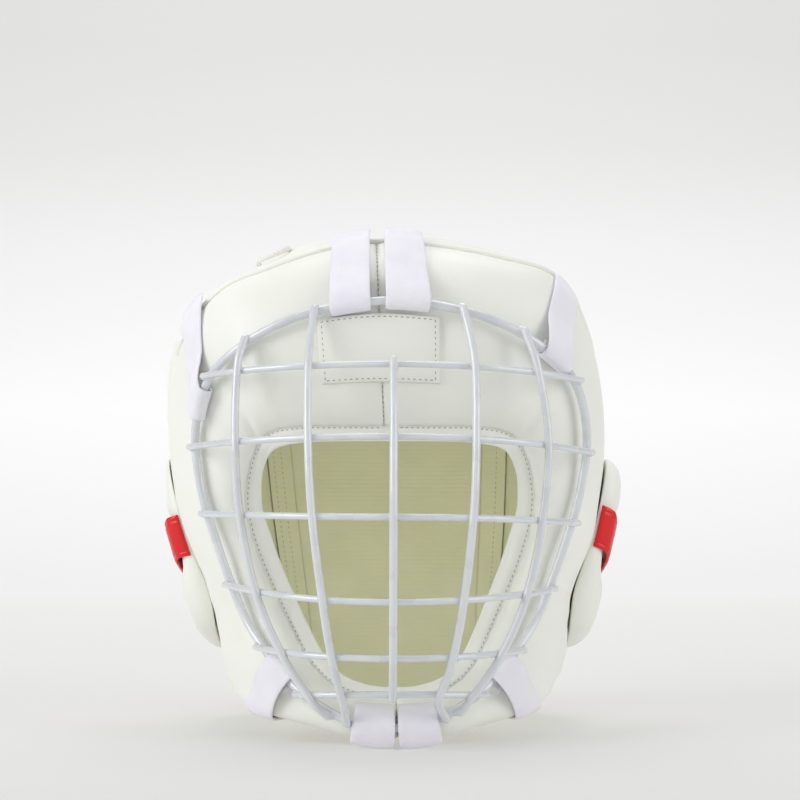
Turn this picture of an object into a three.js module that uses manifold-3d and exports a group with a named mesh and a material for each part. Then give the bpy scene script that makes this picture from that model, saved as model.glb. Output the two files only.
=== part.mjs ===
// Martial arts head guard: a padded leather shell with a welded wire face cage, in millimetres.
// +Z is up, the face looks along -Y and +X is the wearer's left. Sizes are measured from the head axis,
// an upright line through the middle of the head, and the origin is on the floor under the guard's middle.
//
// The shell is a set of smooth sections. A station runs round the face: 0 is the middle of the brow,
// 6 the cheek, 9 the jaw corner and 14 the middle of the chin, positive on the wearer's left side.
// From the opening a section of the front pad runs outwards to its seam, and from that seam a section
// of the crown or side pad runs on to the back.

import * as THREE from "three";
import { mergeVertices } from "three/addons/utils/BufferGeometryUtils.js";
import Module from "manifold-3d";

const wasm = await Module();
wasm.setup();

// Driving dimensions of the shell
const HEAD_AXIS_Y = 19.7;        // from the middle of the guard back to the head axis
const SEAM_GAP = 0.4;            // between panels that are sewn edge to edge
const SEAM_THICKNESS = 8;        // of a pad where it is sewn
const HEM_THICKNESS = 4;         // of the flat hem round the face opening
const PAD_SWELL_OUT = 3.5;       // how far the middle of a rear panel stands out from its seams
const PAD_SWELL_IN = 10;         // and how far its lining stands in
const AXIS_SHIFT_Y = 5;          // pads get thinner towards an upright line this far behind the head axis
const AXIS_TOP_Z = 150;          // and below this height straight towards it
const SEAM_LEAN = -0.043;        // the sewn middle leans sideways, mm per mm of height
const SEAM_LEAN_Z = 76;          // height at which it is in the middle
const SEAM_LEAN_REACH = 55;      // and how far from the middle the front pads lean with it
const SIDE_LEAN = 0.8;           // share of the lean that the side and back pads take
const SIDE_LEAN_Y = { from: -85, to: -35 };     // where that comes in
const TIP_Z = { from: 185, to: 230 };           // heights over which the crown is tipped as well
const HEM_RISE = 1.5;            // from the edge of the opening forwards to the stitch line of its hem
const LIFT_LEAN = 0.25;          // how much a front pad leans outwards as it leaves its hem
const LINING_LEAVE = 0.3;        // the lining leaves the hem along this share of its chord
const LINING_ROLL = 0.5;         // and meets the seam with this share of the skin's roll
const HEM_SHARE = 0.1;           // share of the lining that lies behind the hem

// Driving dimensions of the pieces on the shell
const EAR = { station: 7.3, along: 0.24, stationRadius: 1.5, alongRadius: 0.2, edge: 0.6 };
const EAR_HEIGHT = { left: 9.9, right: 7.7 };   // one is worn flatter than the other
const EAR_FLARE = { from: 7.86, to: 8.4, left: 4.5, right: 6.5 };   // stations over which they get thicker
const EAR_THIN = { from: 6, to: 7, left: 0, right: 4 };   // and over which they get thinner upwards
const EAR_CORNERS = { top: 0.9, bottom: 0.5 };  // power of its outline: 1 is an oval, less is squarer
const STRAP_PRESS = 0.3;         // share of the ear pad's height that the rear strap presses in
const STRAP_CLIMB = { from: 0, to: 0.06 };      // where the rear strap rises onto the ear pad
const STRAP_FALL = { from: 0.4, to: 0.62 };     // and comes down behind it
const STRAP_START = 0.012;       // and how far behind the front pad's seam it begins
const PATCH = { low: 0.3, high: 0.57, thickness: 1.4 };
const PATCH_LOW = { right: -1.28, left: 1.14 }; // stations of the patch's lower corners
const PATCH_HIGH = { right: -1.2, left: 1.06 }; // and of its upper ones
const TAPE = { width: 20, thickness: 1.6, gap: 0.6, settle: 22, tail: 6 };
const TOP_TAPE = { footWidth: 17.5 };
const TEMPLE_TAPE = { width: 17 };
const JAW_TAPE = { width: 18 };
const CHIN_TAPE = { start: 0.2, width: 19, footWidth: 18.5, settle: 12 };
const SEAM_BRIDGE = 2.2;         // how far a tape stands off where it crosses a seam
const TAPE_UNDER_RIM = 9;        // how far the jaw and chin tapes run on under the lower rim
const REAR_STRAP = { width: 22, thickness: 2, station: 7.1, drop: 0.75 };
const CORD = { diameter: 2.6, spread: 0.83, width: 0.25, gap: 0.03, height: 2, bendHeight: 3.6 };
const CORD_ROOT = { station: -0.1, share: 0.66 };   // on the crown's middle seam
const CORD_BEND = { station: -1.74, share: 0.1 };   // and the far end of the loop

// Driving dimensions of the cage
const RING_WIRE = 4.2;
const CROSS_WIRE = 3.2;
const UPRIGHT_WIRE = 3.8;
const WELD = 0.5;                // how deep crossing wires sink into each other
const RING_STANDOFF = 5;         // from the pad to the middle of the ring, room for a tape under it
const WIRE_OVERSHOOT = 1.8;      // cross wires run past the middle of the ring
const BOW_ROUNDNESS = 0.3;       // 0 bends a cross wire as a parabola, more turns its ends in
const RING_LAP = 0.3;            // stations by which each half of the ring runs past the middle
const WIRE_SIDES = 6;
const BULGE_CENTRE = new THREE.Vector3(0, -40, 105);

// Stations with a name of their own
const NAPE_FROM = 4;             // top of the back pad and of the side pads
const JAW = 9;                   // their lower end
const CHIN = 14;
const SEWN_BROW = 0.012;         // where a front pad begins, half a seam gap from the middle
const SEWN_CHIN = 13.985;

// Mesh steps
const STEPS_PER_STATION = 2;
const SKIN_STEPS = 7;
const PANEL_STEPS = 7;
const NUDGE = 0.05;              // stations, a small step to measure a slope

// A table read at any fractional row: a smooth curve runs through the rows of each column.
// Past its ends the table is mirrored, and there the columns named as odd change sign.
function smoothTable(columns, rows, odd = []) {
  const last = rows.length - 1;
  const cell = (row, column) => {
    const inside = row < 0 ? -row : row > last ? 2 * last - row : row;
    const sign = inside !== row && odd.includes(columns[column]) ? -1 : 1;
    return sign * rows[inside][column];
  };
  return (at) => {
    const row = Math.min(Math.floor(at), last - 1);
    const f = at - row;
    const values = {};
    columns.forEach((name, column) => {
      const [a, b, c, d] = [-1, 0, 1, 2].map((step) => cell(row + step, column));
      values[name] = b + 0.5 * f * (c - a + f * (2 * a - 5 * b + 4 * c - d + f * (3 * (b - c) + d - a)));
    });
    return values;
  };
}

// Front pad, a row for each station. The edge is the rim of the face opening and the seam is the outer
// end of the section. The pad leaves its hem forwards by lift and meets its seam from in front by roll,
// which leans outwards by lean. ring says where along the section the cage's ring lies.
const frontRow = smoothTable(
  ["edgeX", "edgeY", "edgeZ", "seamX", "seamY", "seamZ", "hem", "lift", "roll", "ring", "lean"],
  [
    [0, -96, 144.5, 0, -86, 241.1, 7, 24, 34, 0.606, -0.25],
    [21, -95.5, 144.5, 28.6, -85, 237.8, 7, 24, 34, 0.599, -0.25],
    [40, -92.5, 144, 56, -81, 231.4, 7.5, 23, 33, 0.574, -0.25],
    [55, -86, 141, 82, -71.5, 222.5, 8, 22, 32, 0.526, -0.22],
    [61, -79, 132, 100, -55.5, 199, 8.5, 22, 33, 0.538, -0.08],
    [62.5, -74.5, 121.5, 108, -40, 167, 9, 23, 34, 0.51, 0.08],
    [62, -71.5, 111.5, 109, -28.5, 133.5, 9, 24, 34, 0.43, 0.15],
    [58.5, -69.5, 99.5, 103.2, -23, 100, 9, 26, 33, 0.37, 0.15],
    [53.5, -69.5, 85, 92.6, -21, 71.5, 8.5, 28, 32, 0.36, 0.15],
    [47.5, -71.5, 70.5, 87.5, -24, 46, 8, 28, 32, 0.345, 0.15],
    [41, -76.5, 56, 81.5, -46, 27, 7.5, 26, 26, 0.32, 0.15],
    [33.5, -83, 42, 69.5, -71.5, 16, 7, 25, 22, 0.32, 0.15],
    [24.5, -89.5, 32.5, 47, -90.5, 10.5, 6, 25, 18, 0.38, 0.15],
    [12.5, -93.5, 28, 23, -99, 5, 5, 26, 17, 0.455, 0.15],
    [0, -94.5, 27, 0, -101, 3.5, 4, 26, 17, 0.5, 0.15],
  ],
  ["edgeX", "seamX"],
);

// Crown pad (stations 0 to 4) and side pad (4 to 9): how a section leaves the front pad's seam (lead) and
// arrives at the back pad's (trail).
const rearRow = smoothTable(
  ["leadX", "leadY", "leadZ", "trailX", "trailY", "trailZ"],
  [
    [0, 54, 17, 0, -8, 38],
    [3, 54, 16, 4, -8, 37],
    [7, 53, 10, 11, -9, 33],
    [11, 50, 6, 20, -11, 27],
    [12, 46, 7, 28, -14, 18],
    [7, 46, 3, 31, -18, 6],
    [4, 44, 0, 32, -20, 2],
    [3, 42, 0, 31, -18, 0],
    [4, 40, 0, 28, -16, 0],
    [4, 38, 0, 26, -14, 0],
  ],
  ["leadX", "trailX"],
);

// Back pad, a row for each station from 4 at its top to 9 at the nape: its corner, where the side pad
// is sewn on, and its middle.
const napeRow = smoothTable(
  ["cornerX", "cornerY", "cornerZ", "middleY", "middleZ"],
  [
    [68, 79, 182, 97, 196],
    [69.5, 85, 150, 106, 154],
    [67.5, 88, 115, 109, 117],
    [64, 88, 80, 108, 81],
    [60, 85, 42, 104, 42],
    [56, 81, 0, 99, 0],
  ],
);

const vec = (x, y, z) => new THREE.Vector3(x, y, z);
const FORWARD = vec(0, -1, 0);
const BACKWARD = vec(0, 1, 0);

const between = (from, to, share) => from + (to - from) * share;

const smooth = (value, { from, to }) => THREE.MathUtils.smoothstep(value, from, to);

const swell = (share) => 1 - (2 * share - 1) ** 4;

function bezier(a, b, c, d, s) {
  const r = 1 - s;
  return vec(0, 0, 0)
    .addScaledVector(a, r * r * r)
    .addScaledVector(b, 3 * r * r * s)
    .addScaledVector(c, 3 * r * s * s)
    .addScaledVector(d, s * s * s);
}

// Direction from a point of the shell to the middle of the head
function inward(point) {
  return vec(0, AXIS_SHIFT_Y, Math.min(point.z, AXIS_TOP_Z)).sub(point).normalize();
}

// Puts a point of the left half on its own side and moves it with the leaning shell
function placed(point, side) {
  const x = side * point.x;
  const nearMiddle = Math.exp(-((x / SEAM_LEAN_REACH) ** 2));
  const share = between(SIDE_LEAN * smooth(point.y, SIDE_LEAN_Y), 1, nearMiddle);
  const lean = SEAM_LEAN * (point.z - SEAM_LEAN_Z) * share;
  return vec(x + lean, point.y, point.z - SEAM_LEAN * x * smooth(point.z, TIP_Z));
}

const sideOf = (station) => (station < 0 ? -1 : 1);

function earHeight(side, station) {
  const sideName = side < 0 ? "right" : "left";
  const flare = EAR_FLARE[sideName] * smooth(station, EAR_FLARE);
  const thin = EAR_THIN[sideName] * (1 - smooth(station, EAR_THIN));
  return EAR_HEIGHT[sideName] + flare - thin;
}

// Landmarks of the front pad's section at a station of the left half
function frontSection(station) {
  const row = frontRow(station);
  const edge = vec(row.edgeX, row.edgeY, row.edgeZ);
  const seam = vec(row.seamX, row.seamY, row.seamZ);
  const outwards = vec(seam.x - edge.x, 0, seam.z - edge.z).normalize();
  const stitch = edge.clone().addScaledVector(outwards, row.hem).addScaledVector(FORWARD, HEM_RISE);
  const rise = FORWARD.clone().addScaledVector(outwards, LIFT_LEAN).normalize();
  const roll = FORWARD.clone().addScaledVector(outwards, row.lean).normalize();
  return { row, edge, seam, outwards, stitch, rise, roll };
}

// Outer skin of the front pad without the lean, from the stitch line of its hem (0) to its seam (1)
function frontBase(station, along) {
  const { row, seam, stitch, rise, roll } = frontSection(Math.abs(station));
  const leave = stitch.clone().addScaledVector(rise, row.lift);
  const arrive = seam.clone().addScaledVector(roll, row.roll);
  return bezier(stitch, leave, arrive, seam, along);
}

const frontSkin = (station, along) => placed(frontBase(station, along), sideOf(station));

// Lining of the front pad, from the edge of the opening (0) to its seam (1)
function frontLining(station, along) {
  const { row, edge, seam, outwards } = frontSection(Math.abs(station));
  const from = edge.clone().addScaledVector(BACKWARD, HEM_THICKNESS);
  const to = seam.clone().addScaledVector(inward(seam), SEAM_THICKNESS);
  const reach = from.distanceTo(to);
  const leave = from.clone().addScaledVector(outwards, LINING_LEAVE * reach);
  const arrive = to.clone().addScaledVector(FORWARD, LINING_ROLL * row.roll);
  return placed(bezier(from, leave, arrive, to, along), sideOf(station));
}

// Back pad without its swell: across is -1 at one corner and 1 at the other
function backBase(station, across) {
  const row = napeRow(station - NAPE_FROM);
  const angle = (across * Math.PI) / 2;
  const middle = Math.cos(angle) ** 2;
  const y = between(row.cornerY, row.middleY, middle);
  const z = between(row.cornerZ, row.middleZ, middle);
  return vec(row.cornerX * Math.sin(angle), y, z);
}

// Crown and side pads without their swell, from the front pad's seam (0) to the back pad's (1)
function rearBase(station, along) {
  const level = Math.abs(station);
  const { seam } = frontSection(level);
  const row = rearRow(level);
  const back = level < NAPE_FROM ? backBase(NAPE_FROM, level / NAPE_FROM) : backBase(level, 1);
  const leave = seam.clone().add(vec(row.leadX, row.leadY, row.leadZ));
  const arrive = back.clone().add(vec(row.trailX, row.trailY, row.trailZ));
  return bezier(seam, leave, arrive, back, along);
}

// A point of a rear panel moved out from the head by a height
function raised(base, height, side) {
  return placed(base.clone().addScaledVector(inward(base), -height), side);
}

// A point over the shell: along runs over the front pad from 0 to 1 and on over the rear pad from 1 to 2
function overShell(station, along) {
  if (along <= 1) return frontSkin(station, along);
  return raised(rearBase(station, along - 1), PAD_SWELL_OUT * swell(along - 1), sideOf(station));
}

// Outward direction of a shell surface, across its two parameters
function facing(surface, station, along) {
  const step = 0.01;
  const acrossStations = surface(station + step, along).sub(surface(station - step, along));
  const alongSection = surface(station, along + step).sub(surface(station, along - step));
  return acrossStations.cross(alongSection).normalize();
}

// Middle line of the cage's ring, which is true and has no lean. It may run on past the brow and the chin.
function ringAt(station) {
  const level = Math.abs(station > CHIN ? 2 * CHIN - station : station);
  const along = frontRow(level).ring;
  const point = frontBase(level, along);
  const mirror = station < 0 || station > CHIN ? -1 : 1;
  return point.addScaledVector(facing(frontBase, level, along), RING_STANDOFF).multiply(vec(mirror, 1, 1));
}

// The point of the ring next to a place on one side, searched for near a station
function ringNear(place, station) {
  const side = vec(sideOf(station), 1, 1);
  const candidates = steps(-0.6, 0.6, 120).map((step) => ringAt(Math.abs(station) + step).multiply(side));
  const closer = (best, point) => (point.distanceTo(place) < best.distanceTo(place) ? point : best);
  return candidates.reduce(closer);
}

const steps = (from, to, count) => Array.from({ length: count + 1 }, (_, i) => between(from, to, i / count));

// A closed body between two grids of points that have the same rows and columns
function bodyBetween(outer, inner) {
  const rows = outer.length;
  const columns = outer[0].length;
  const positions = [...outer.flat(), ...inner.flat()].flatMap((p) => [p.x, p.y, p.z]);
  const top = (i, j) => i * columns + j;
  const under = (i, j) => rows * columns + top(i, j);
  const faces = [];
  const quad = (a, b, c, d) => faces.push(a, b, c, a, c, d);
  for (let i = 0; i + 1 < rows; i += 1) {
    for (let j = 0; j + 1 < columns; j += 1) {
      quad(top(i, j), top(i + 1, j), top(i + 1, j + 1), top(i, j + 1));
      quad(under(i, j), under(i, j + 1), under(i + 1, j + 1), under(i + 1, j));
    }
    quad(top(i, 0), under(i, 0), under(i + 1, 0), top(i + 1, 0));
    quad(top(i, columns - 1), top(i + 1, columns - 1), under(i + 1, columns - 1), under(i, columns - 1));
  }
  for (let j = 0; j + 1 < columns; j += 1) {
    quad(top(0, j), top(0, j + 1), under(0, j + 1), under(0, j));
    quad(top(rows - 1, j), under(rows - 1, j), under(rows - 1, j + 1), top(rows - 1, j + 1));
  }
  return facingOut(positions, faces);
}

// Geometry with its faces turned outwards, told by the sign of its volume
function facingOut(positions, faces) {
  const point = (i) => vec(...positions.slice(3 * i, 3 * i + 3));
  let volume = 0;
  for (let f = 0; f < faces.length; f += 3) {
    volume += point(faces[f]).dot(point(faces[f + 1]).cross(point(faces[f + 2])));
  }
  const geometry = new THREE.BufferGeometry();
  geometry.setAttribute("position", new THREE.Float32BufferAttribute(positions, 3));
  geometry.setIndex(volume < 0 ? faces.slice().reverse() : faces);
  return geometry;
}

const grid = (rows, columns, at) => rows.map((row) => columns.map((column) => at(row, column)));

// Front pad: hem and skin outside, lining inside
function frontPad(side) {
  const stations = steps(0, CHIN, CHIN * STEPS_PER_STATION);
  stations[0] = SEWN_BROW;
  stations[stations.length - 1] = SEWN_CHIN;
  const columns = [null, ...steps(0, 1, SKIN_STEPS)];
  const move = vec(0, -SEAM_GAP / 2, 0);
  const outer = grid(stations, columns, (station, along) => {
    const edge = placed(frontSection(station).edge, side);
    return along === null ? edge : frontSkin(side * station, along).add(move);
  });
  const inner = grid(stations, columns, (station, along) => {
    return frontLining(side * station, along === null ? 0 : between(HEM_SHARE, 1, along)).add(move);
  });
  return bodyBetween(outer, inner);
}

// A panel of the crown or side, swollen between its seams
function rearPanel(side, from, to, startGap, endGap) {
  const stations = steps(from, to, Math.round((to - from) * STEPS_PER_STATION));
  const along = steps(0, 1, PANEL_STEPS);
  const shell = (out, base) => grid(stations, along, (station, share) => {
    const fullness = swell(share) * swell((station - from) / (to - from));
    const last = station === to ? endGap : station === from ? startGap : vec(0, 0, 0);
    const seams = vec(0, between(SEAM_GAP, -SEAM_GAP, share), 0);
    const point = rearBase(station, share);
    return raised(point, out * fullness + base, side).add(last).add(seams);
  });
  return bodyBetween(shell(PAD_SWELL_OUT, 0), shell(-PAD_SWELL_IN, -SEAM_THICKNESS));
}

const crownPad = (side) => {
  const sewn = vec(side * SEAM_GAP / 2, 0, 0);
  return rearPanel(side, 0, NAPE_FROM, sewn, vec(0, 0, SEAM_GAP / 2));
};

const sidePad = (side) => rearPanel(side, NAPE_FROM, JAW, vec(0, 0, -SEAM_GAP / 2), vec(0, 0, 0));

// Back pad, from corner to corner
function backPad() {
  const stations = steps(NAPE_FROM, JAW, (JAW - NAPE_FROM) * STEPS_PER_STATION);
  const across = steps(-1, 1, 2 * PANEL_STEPS - 2);
  const shell = (out, base) => grid(stations, across, (station, share) => {
    const fullness = swell((share + 1) / 2) * swell((station - NAPE_FROM) / (JAW - NAPE_FROM));
    const point = backBase(station, share);
    const top = station === NAPE_FROM ? -SEAM_GAP : 0;
    return raised(point, out * fullness + base, 1).add(vec(-share * SEAM_GAP, SEAM_GAP, top));
  });
  return bodyBetween(shell(PAD_SWELL_OUT, 0), shell(-PAD_SWELL_IN, -SEAM_THICKNESS));
}

// Station of the rear strap's middle line, which drops towards the back
const strapLevel = (along) => REAR_STRAP.station + REAR_STRAP.drop * along;

// Ear pad: a slab on the side pad, round at its top and squarer below, pressed in by the rear strap
function earPad(side) {
  const RINGS = 5;
  const SPOKES = 20;
  const positions = [];
  const faces = [];
  const add = (radius, angle, filled) => {
    const corner = Math.sin(angle) > 0 ? EAR_CORNERS.bottom : EAR_CORNERS.top;
    const squared = (share) => Math.sign(share) * Math.abs(share) ** corner;
    const station = EAR.station + EAR.stationRadius * radius * squared(Math.sin(angle));
    const along = EAR.along + EAR.alongRadius * radius * squared(Math.cos(angle));
    const base = rearBase(station, along);
    const fullness = swell(along) * swell((station - NAPE_FROM) / (JAW - NAPE_FROM));
    const pressed = 1 - STRAP_PRESS * Math.exp(-(((station - strapLevel(along)) / 0.5) ** 4));
    const lift = PAD_SWELL_OUT * fullness + SEAM_GAP + filled * earHeight(side, station) * pressed;
    positions.push(...raised(base, lift, side).toArray());
  };
  const dome = (radius) => between(EAR.edge, 1, (1 - radius ** 3) ** 0.6);
  for (const filled of [dome, () => 0]) {
    add(0, 0, filled(0));
    for (let ring = 1; ring <= RINGS; ring += 1) {
      for (let spoke = 0; spoke < SPOKES; spoke += 1) {
        add(ring / RINGS, (2 * Math.PI * spoke) / SPOKES, filled(ring / RINGS));
      }
    }
  }
  const under = 1 + RINGS * SPOKES;
  const at = (layer, ring, spoke) => layer * under + 1 + (ring - 1) * SPOKES + (spoke % SPOKES);
  for (let spoke = 0; spoke < SPOKES; spoke += 1) {
    faces.push(0, at(0, 1, spoke), at(0, 1, spoke + 1));
    faces.push(under, at(1, 1, spoke + 1), at(1, 1, spoke));
    for (let ring = 1; ring < RINGS; ring += 1) {
      for (const layer of [0, 1]) {
        const [a, b] = [at(layer, ring, spoke), at(layer, ring + 1, spoke)];
        const [c, d] = [at(layer, ring + 1, spoke + 1), at(layer, ring, spoke + 1)];
        faces.push(...(layer === 0 ? [a, b, c, a, c, d] : [a, c, b, a, d, c]));
      }
    }
    const [a, b] = [at(0, RINGS, spoke), at(1, RINGS, spoke)];
    const [c, d] = [at(1, RINGS, spoke + 1), at(0, RINGS, spoke + 1)];
    faces.push(a, b, c, a, c, d);
  }
  return facingOut(positions, faces);
}

// A band of an even thickness about a grid of middle points, flattened where it rests on the floor
function band(middle, thickness) {
  const pick = (i, j) => middle[THREE.MathUtils.clamp(i, 0, middle.length - 1)][
    THREE.MathUtils.clamp(j, 0, middle[0].length - 1)];
  const shifted = (distance) => middle.map((row, i) => row.map((point, j) => {
    const along = pick(i + 1, j).clone().sub(pick(i - 1, j));
    const across = pick(i, j + 1).clone().sub(pick(i, j - 1));
    const moved = point.clone().addScaledVector(along.cross(across).normalize(), distance);
    return moved.setZ(Math.max(moved.z, 0));
  }));
  return bodyBetween(shifted(thickness / 2), shifted(-thickness / 2));
}

// Brow patch, a thin plate that follows the front pads across their seam
function browPatch() {
  const middle = grid(steps(0, 1, 8), steps(0, 1, 4), (across, up) => {
    const right = between(PATCH_LOW.right, PATCH_HIGH.right, up);
    const left = between(PATCH_LOW.left, PATCH_HIGH.left, up);
    const station = between(right, left, across);
    const along = between(PATCH.low, PATCH.high, up);
    const lift = SEAM_GAP + PATCH.thickness / 2;
    return frontSkin(station, along).addScaledVector(facing(frontSkin, station, along), lift);
  });
  return band(middle, PATCH.thickness);
}

// Hook-and-loop tape. One that is hooked has a tail under the ring, a turn round it and a run over the pads
// to its sewn end. One with a start of its own runs from there straight over the ring.
function tape({ station, foot, reach, start, underRim = 0, ...route }) {
  const { width, footWidth, settle } = { ...TAPE, footWidth: route.width ?? TAPE.width, ...route };
  const LEAD_STEPS = 3;
  const RUN_STEPS = 8;
  const TURN_STEPS = 4;
  const surface = reach > 1 ? overShell : frontSkin;
  const slope = (line, at) => line(at + NUDGE).sub(line(at - NUDGE)).divideScalar(2 * NUDGE);
  const perStation = (at, along) => slope((station) => surface(station, along), at).length();
  const ringSpread = width / slope(ringAt, Math.abs(station)).length();
  const footSpread = footWidth / perStation(foot, Math.min(reach, 1));
  const chin = CHIN * sideOf(station);
  const turnRadius = RING_WIRE / 2 + TAPE.gap + TAPE.thickness / 2;
  const padHeight = TAPE.gap + TAPE.thickness / 2;
  const column = (across) => {
    const from = station + across * ringSpread;
    const to = foot + across * footSpread;
    const ringAlong = frontRow(Math.abs(from)).ring;
    const under = frontSkin(from, ringAlong);
    const up = facing(frontSkin, from, ringAlong);
    const centre = ringNear(under.clone().addScaledVector(up, RING_STANDOFF), from);
    const overRing = centre.clone().sub(under).dot(up) + turnRadius;
    const lead = start === undefined ? [] : steps(start, ringAlong, LEAD_STEPS);
    const run = [...lead, ...steps(ringAlong, reach, RUN_STEPS).slice(1)].map((along) => {
      const narrowing = perStation(station, ringAlong) / perStation(station, along);
      const beforeRing = chin - (chin - from) * narrowing;
      const pastRing = between(from, to, (along - ringAlong) / (reach - ringAlong));
      const at = along < ringAlong ? beforeRing : pastRing;
      const base = surface(at, along);
      const settling = 0.5 + 0.5 * Math.cos(Math.PI * Math.min(base.distanceTo(under) / settle, 1));
      const bridge = reach > 1 ? SEAM_BRIDGE * Math.exp(-(((along - 1) / 0.1) ** 2)) : 0;
      const height = padHeight + bridge + (overRing - padHeight) * settling;
      return base.addScaledVector(facing(surface, at, along), height);
    });
    if (underRim > 0) {
      const rim = run[run.length - 1];
      run.push(rim.clone().addScaledVector(inward(rim), underRim));
    }
    if (start !== undefined) return run;
    const wire = slope(ringAt, Math.abs(from)).multiply(vec(sideOf(from), 1, 1)).normalize();
    const ahead = run[0].clone().sub(centre);
    ahead.addScaledVector(wire, -ahead.dot(wire)).addScaledVector(up, -ahead.dot(up)).normalize();
    const turn = steps(-Math.PI / 2, -1.5 * Math.PI, TURN_STEPS).map((angle) => centre.clone()
      .addScaledVector(ahead, turnRadius * Math.cos(angle))
      .addScaledVector(up, turnRadius * Math.sin(angle)));
    return [turn[0].clone().addScaledVector(ahead, TAPE.tail), ...turn, ...run];
  };
  const columns = [-0.5, 0, 0.5].map(column);
  return band(columns[0].map((_, i) => columns.map((points) => points[i])), TAPE.thickness);
}

// Rear strap: over the ear pads and round the back, lowest at the nape
function rearStrap() {
  const SIDE_STEPS = 14;
  const BACK_STEPS = 14;
  const overEar = (along) => smooth(along, STRAP_CLIMB) * (1 - smooth(along, STRAP_FALL));
  const off = PAD_SWELL_OUT + 2 * SEAM_GAP + REAR_STRAP.thickness / 2;
  const row = (surface, level, height, side) => {
    const perStation = surface(level - 0.5).distanceTo(surface(level + 0.5));
    return [-0.5, 0, 0.5].map((half) => {
      return raised(surface(level + (half * REAR_STRAP.width) / perStation), height, side);
    });
  };
  const onSide = (along, side) => {
    const level = strapLevel(along);
    const climb = (earHeight(side, level) * (1 - STRAP_PRESS) + SEAM_GAP) * overEar(along);
    return row((at) => rearBase(at, along), level, off + climb, side);
  };
  const onBack = (across) => row((at) => backBase(at, across), strapLevel(1), off, 1);
  const shares = steps(STRAP_START, 1, SIDE_STEPS);
  const left = shares.map((along) => onSide(along, 1));
  const right = shares.map((along) => onSide(along, -1)).reverse();
  const back = steps(1, -1, BACK_STEPS).slice(1, -1).map(onBack);
  return band([...left, ...back, ...right], REAR_STRAP.thickness);
}

// A round wire or cord along a smooth line through points
function strand(points, diameter, sides, count) {
  const corner = (i) => {
    const angle = (2 * Math.PI * i) / sides;
    return new THREE.Vector2(Math.cos(angle), Math.sin(angle)).multiplyScalar(diameter / 2);
  };
  const section = new THREE.Shape(Array.from({ length: sides }, (_, i) => corner(i)));
  const path = new THREE.CatmullRomCurve3(points, false, "centripetal");
  return new THREE.ExtrudeGeometry(section, { extrudePath: path, steps: count, bevelEnabled: false });
}

// Crown cord: a loop sewn into the crown's middle seam, that goes aside over one crown pad and then
// forwards, narrow with a round bend that stands up a little
function crownCord() {
  const points = steps(0, 2 * Math.PI, 32).map((turn) => {
    const out = 0.5 - 0.5 * Math.cos(turn);
    const aside = CORD.width * Math.tanh((CORD.spread * Math.sin(turn) * out) / CORD.width);
    const quarter = (Math.PI / 2) * out;
    const station = between(CORD_ROOT.station, CORD_BEND.station, Math.sin(quarter)) + aside;
    const forwards = between(CORD_ROOT.share, CORD_BEND.share, 1 - Math.cos(quarter));
    const share = forwards - CORD.gap * Math.cos(turn / 2);
    const swollen = PAD_SWELL_OUT * swell(share) * swell(-station / NAPE_FROM);
    return raised(rearBase(station, share), swollen + between(CORD.height, CORD.bendHeight, out ** 6), -1);
  });
  return strand(points, CORD.diameter, 8, 48);
}

// A three.js geometry as a solid that can be joined to others
function solid(geometry) {
  const bare = geometry.clone();
  bare.deleteAttribute("normal");
  bare.deleteAttribute("uv");
  const merged = mergeVertices(bare);
  const vertProperties = new Float32Array(merged.attributes.position.array);
  const triVerts = new Uint32Array(merged.index.array);
  return new wasm.Manifold(new wasm.Mesh({ numProp: 3, vertProperties, triVerts }));
}

function geometryOf(body) {
  const mesh = body.getMesh();
  const geometry = new THREE.BufferGeometry();
  geometry.setAttribute("position", new THREE.Float32BufferAttribute(mesh.vertProperties, 3));
  geometry.setIndex(Array.from(mesh.triVerts));
  return geometry;
}

// Cross wires of the cage from top to bottom: the stations where their left and right ends lie on the
// ring, and the front and height of their middle
const CROSS_WIRES = [
  { left: 4.04, right: 3.94, frontY: -132, middleZ: 178.8 },
  { left: 5.42, right: 5.32, frontY: -145, middleZ: 145.1 },
  { left: 6.72, right: 6.54, frontY: -148, middleZ: 108.6 },
  { left: 8.11, right: 8.01, frontY: -146, middleZ: 70 },
  { left: 9.88, right: 9.78, frontY: -140, middleZ: 44 },
  { left: 11.57, right: 11.57, frontY: -132, middleZ: 26.9 },
];

// Uprights: how far from the middle each crosses the cross wires, and the stations where its ends lie on
// the ring. At the chin the inner ones clear the chin tapes, which lie a little to one side.
const UPRIGHTS = [
  { across: [1.3, 1.2, 1.1, 1, 0.9, 0.7] },
  { across: [37.8, 37.9, 36.4, 32.2, 27.4, 21.8], top: 1.24, bottom: 12.74 },
  { across: [-37.1, -36.9, -34.9, -30.3, -26.3, -22.1], top: -1.32, bottom: -13.03 },
  { across: [67.1, 71.6, 68.7, 61.5, 49.5, 36], top: 2.4, bottom: 12.45 },
  { across: [-70.3, -70.7, -68.5, -61, -49.1, -36.5], top: -2.68, bottom: -12.62 },
];

// A point moved away from the middle of the cage's bulge
function bulgeOff(point, distance) {
  return point.clone().addScaledVector(point.clone().sub(BULGE_CENTRE).normalize(), distance);
}

// End of a cross wire on one side, over the middle of the ring
function crossWireEnd(wire, side) {
  return bulgeOff(ringAt(side < 0 ? -wire.right : wire.left), (RING_WIRE + CROSS_WIRE) / 2 - WELD);
}

// A point of a cross wire at a distance from the middle: a bow in plan, rounder towards its ends
function onCrossWire(wire, x) {
  const end = crossWireEnd(wire, x);
  const share = (x / end.x) ** 2;
  const bow = between(share, share * share, BOW_ROUNDNESS);
  return vec(x, between(wire.frontY, end.y, bow), between(wire.middleZ, end.z, share));
}

function crossWire(wire) {
  const from = crossWireEnd(wire, -1).x - WIRE_OVERSHOOT;
  const to = crossWireEnd(wire, 1).x + WIRE_OVERSHOOT;
  return strand(steps(from, to, 12).map((x) => onCrossWire(wire, x)), CROSS_WIRE, WIRE_SIDES, 14);
}

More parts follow.
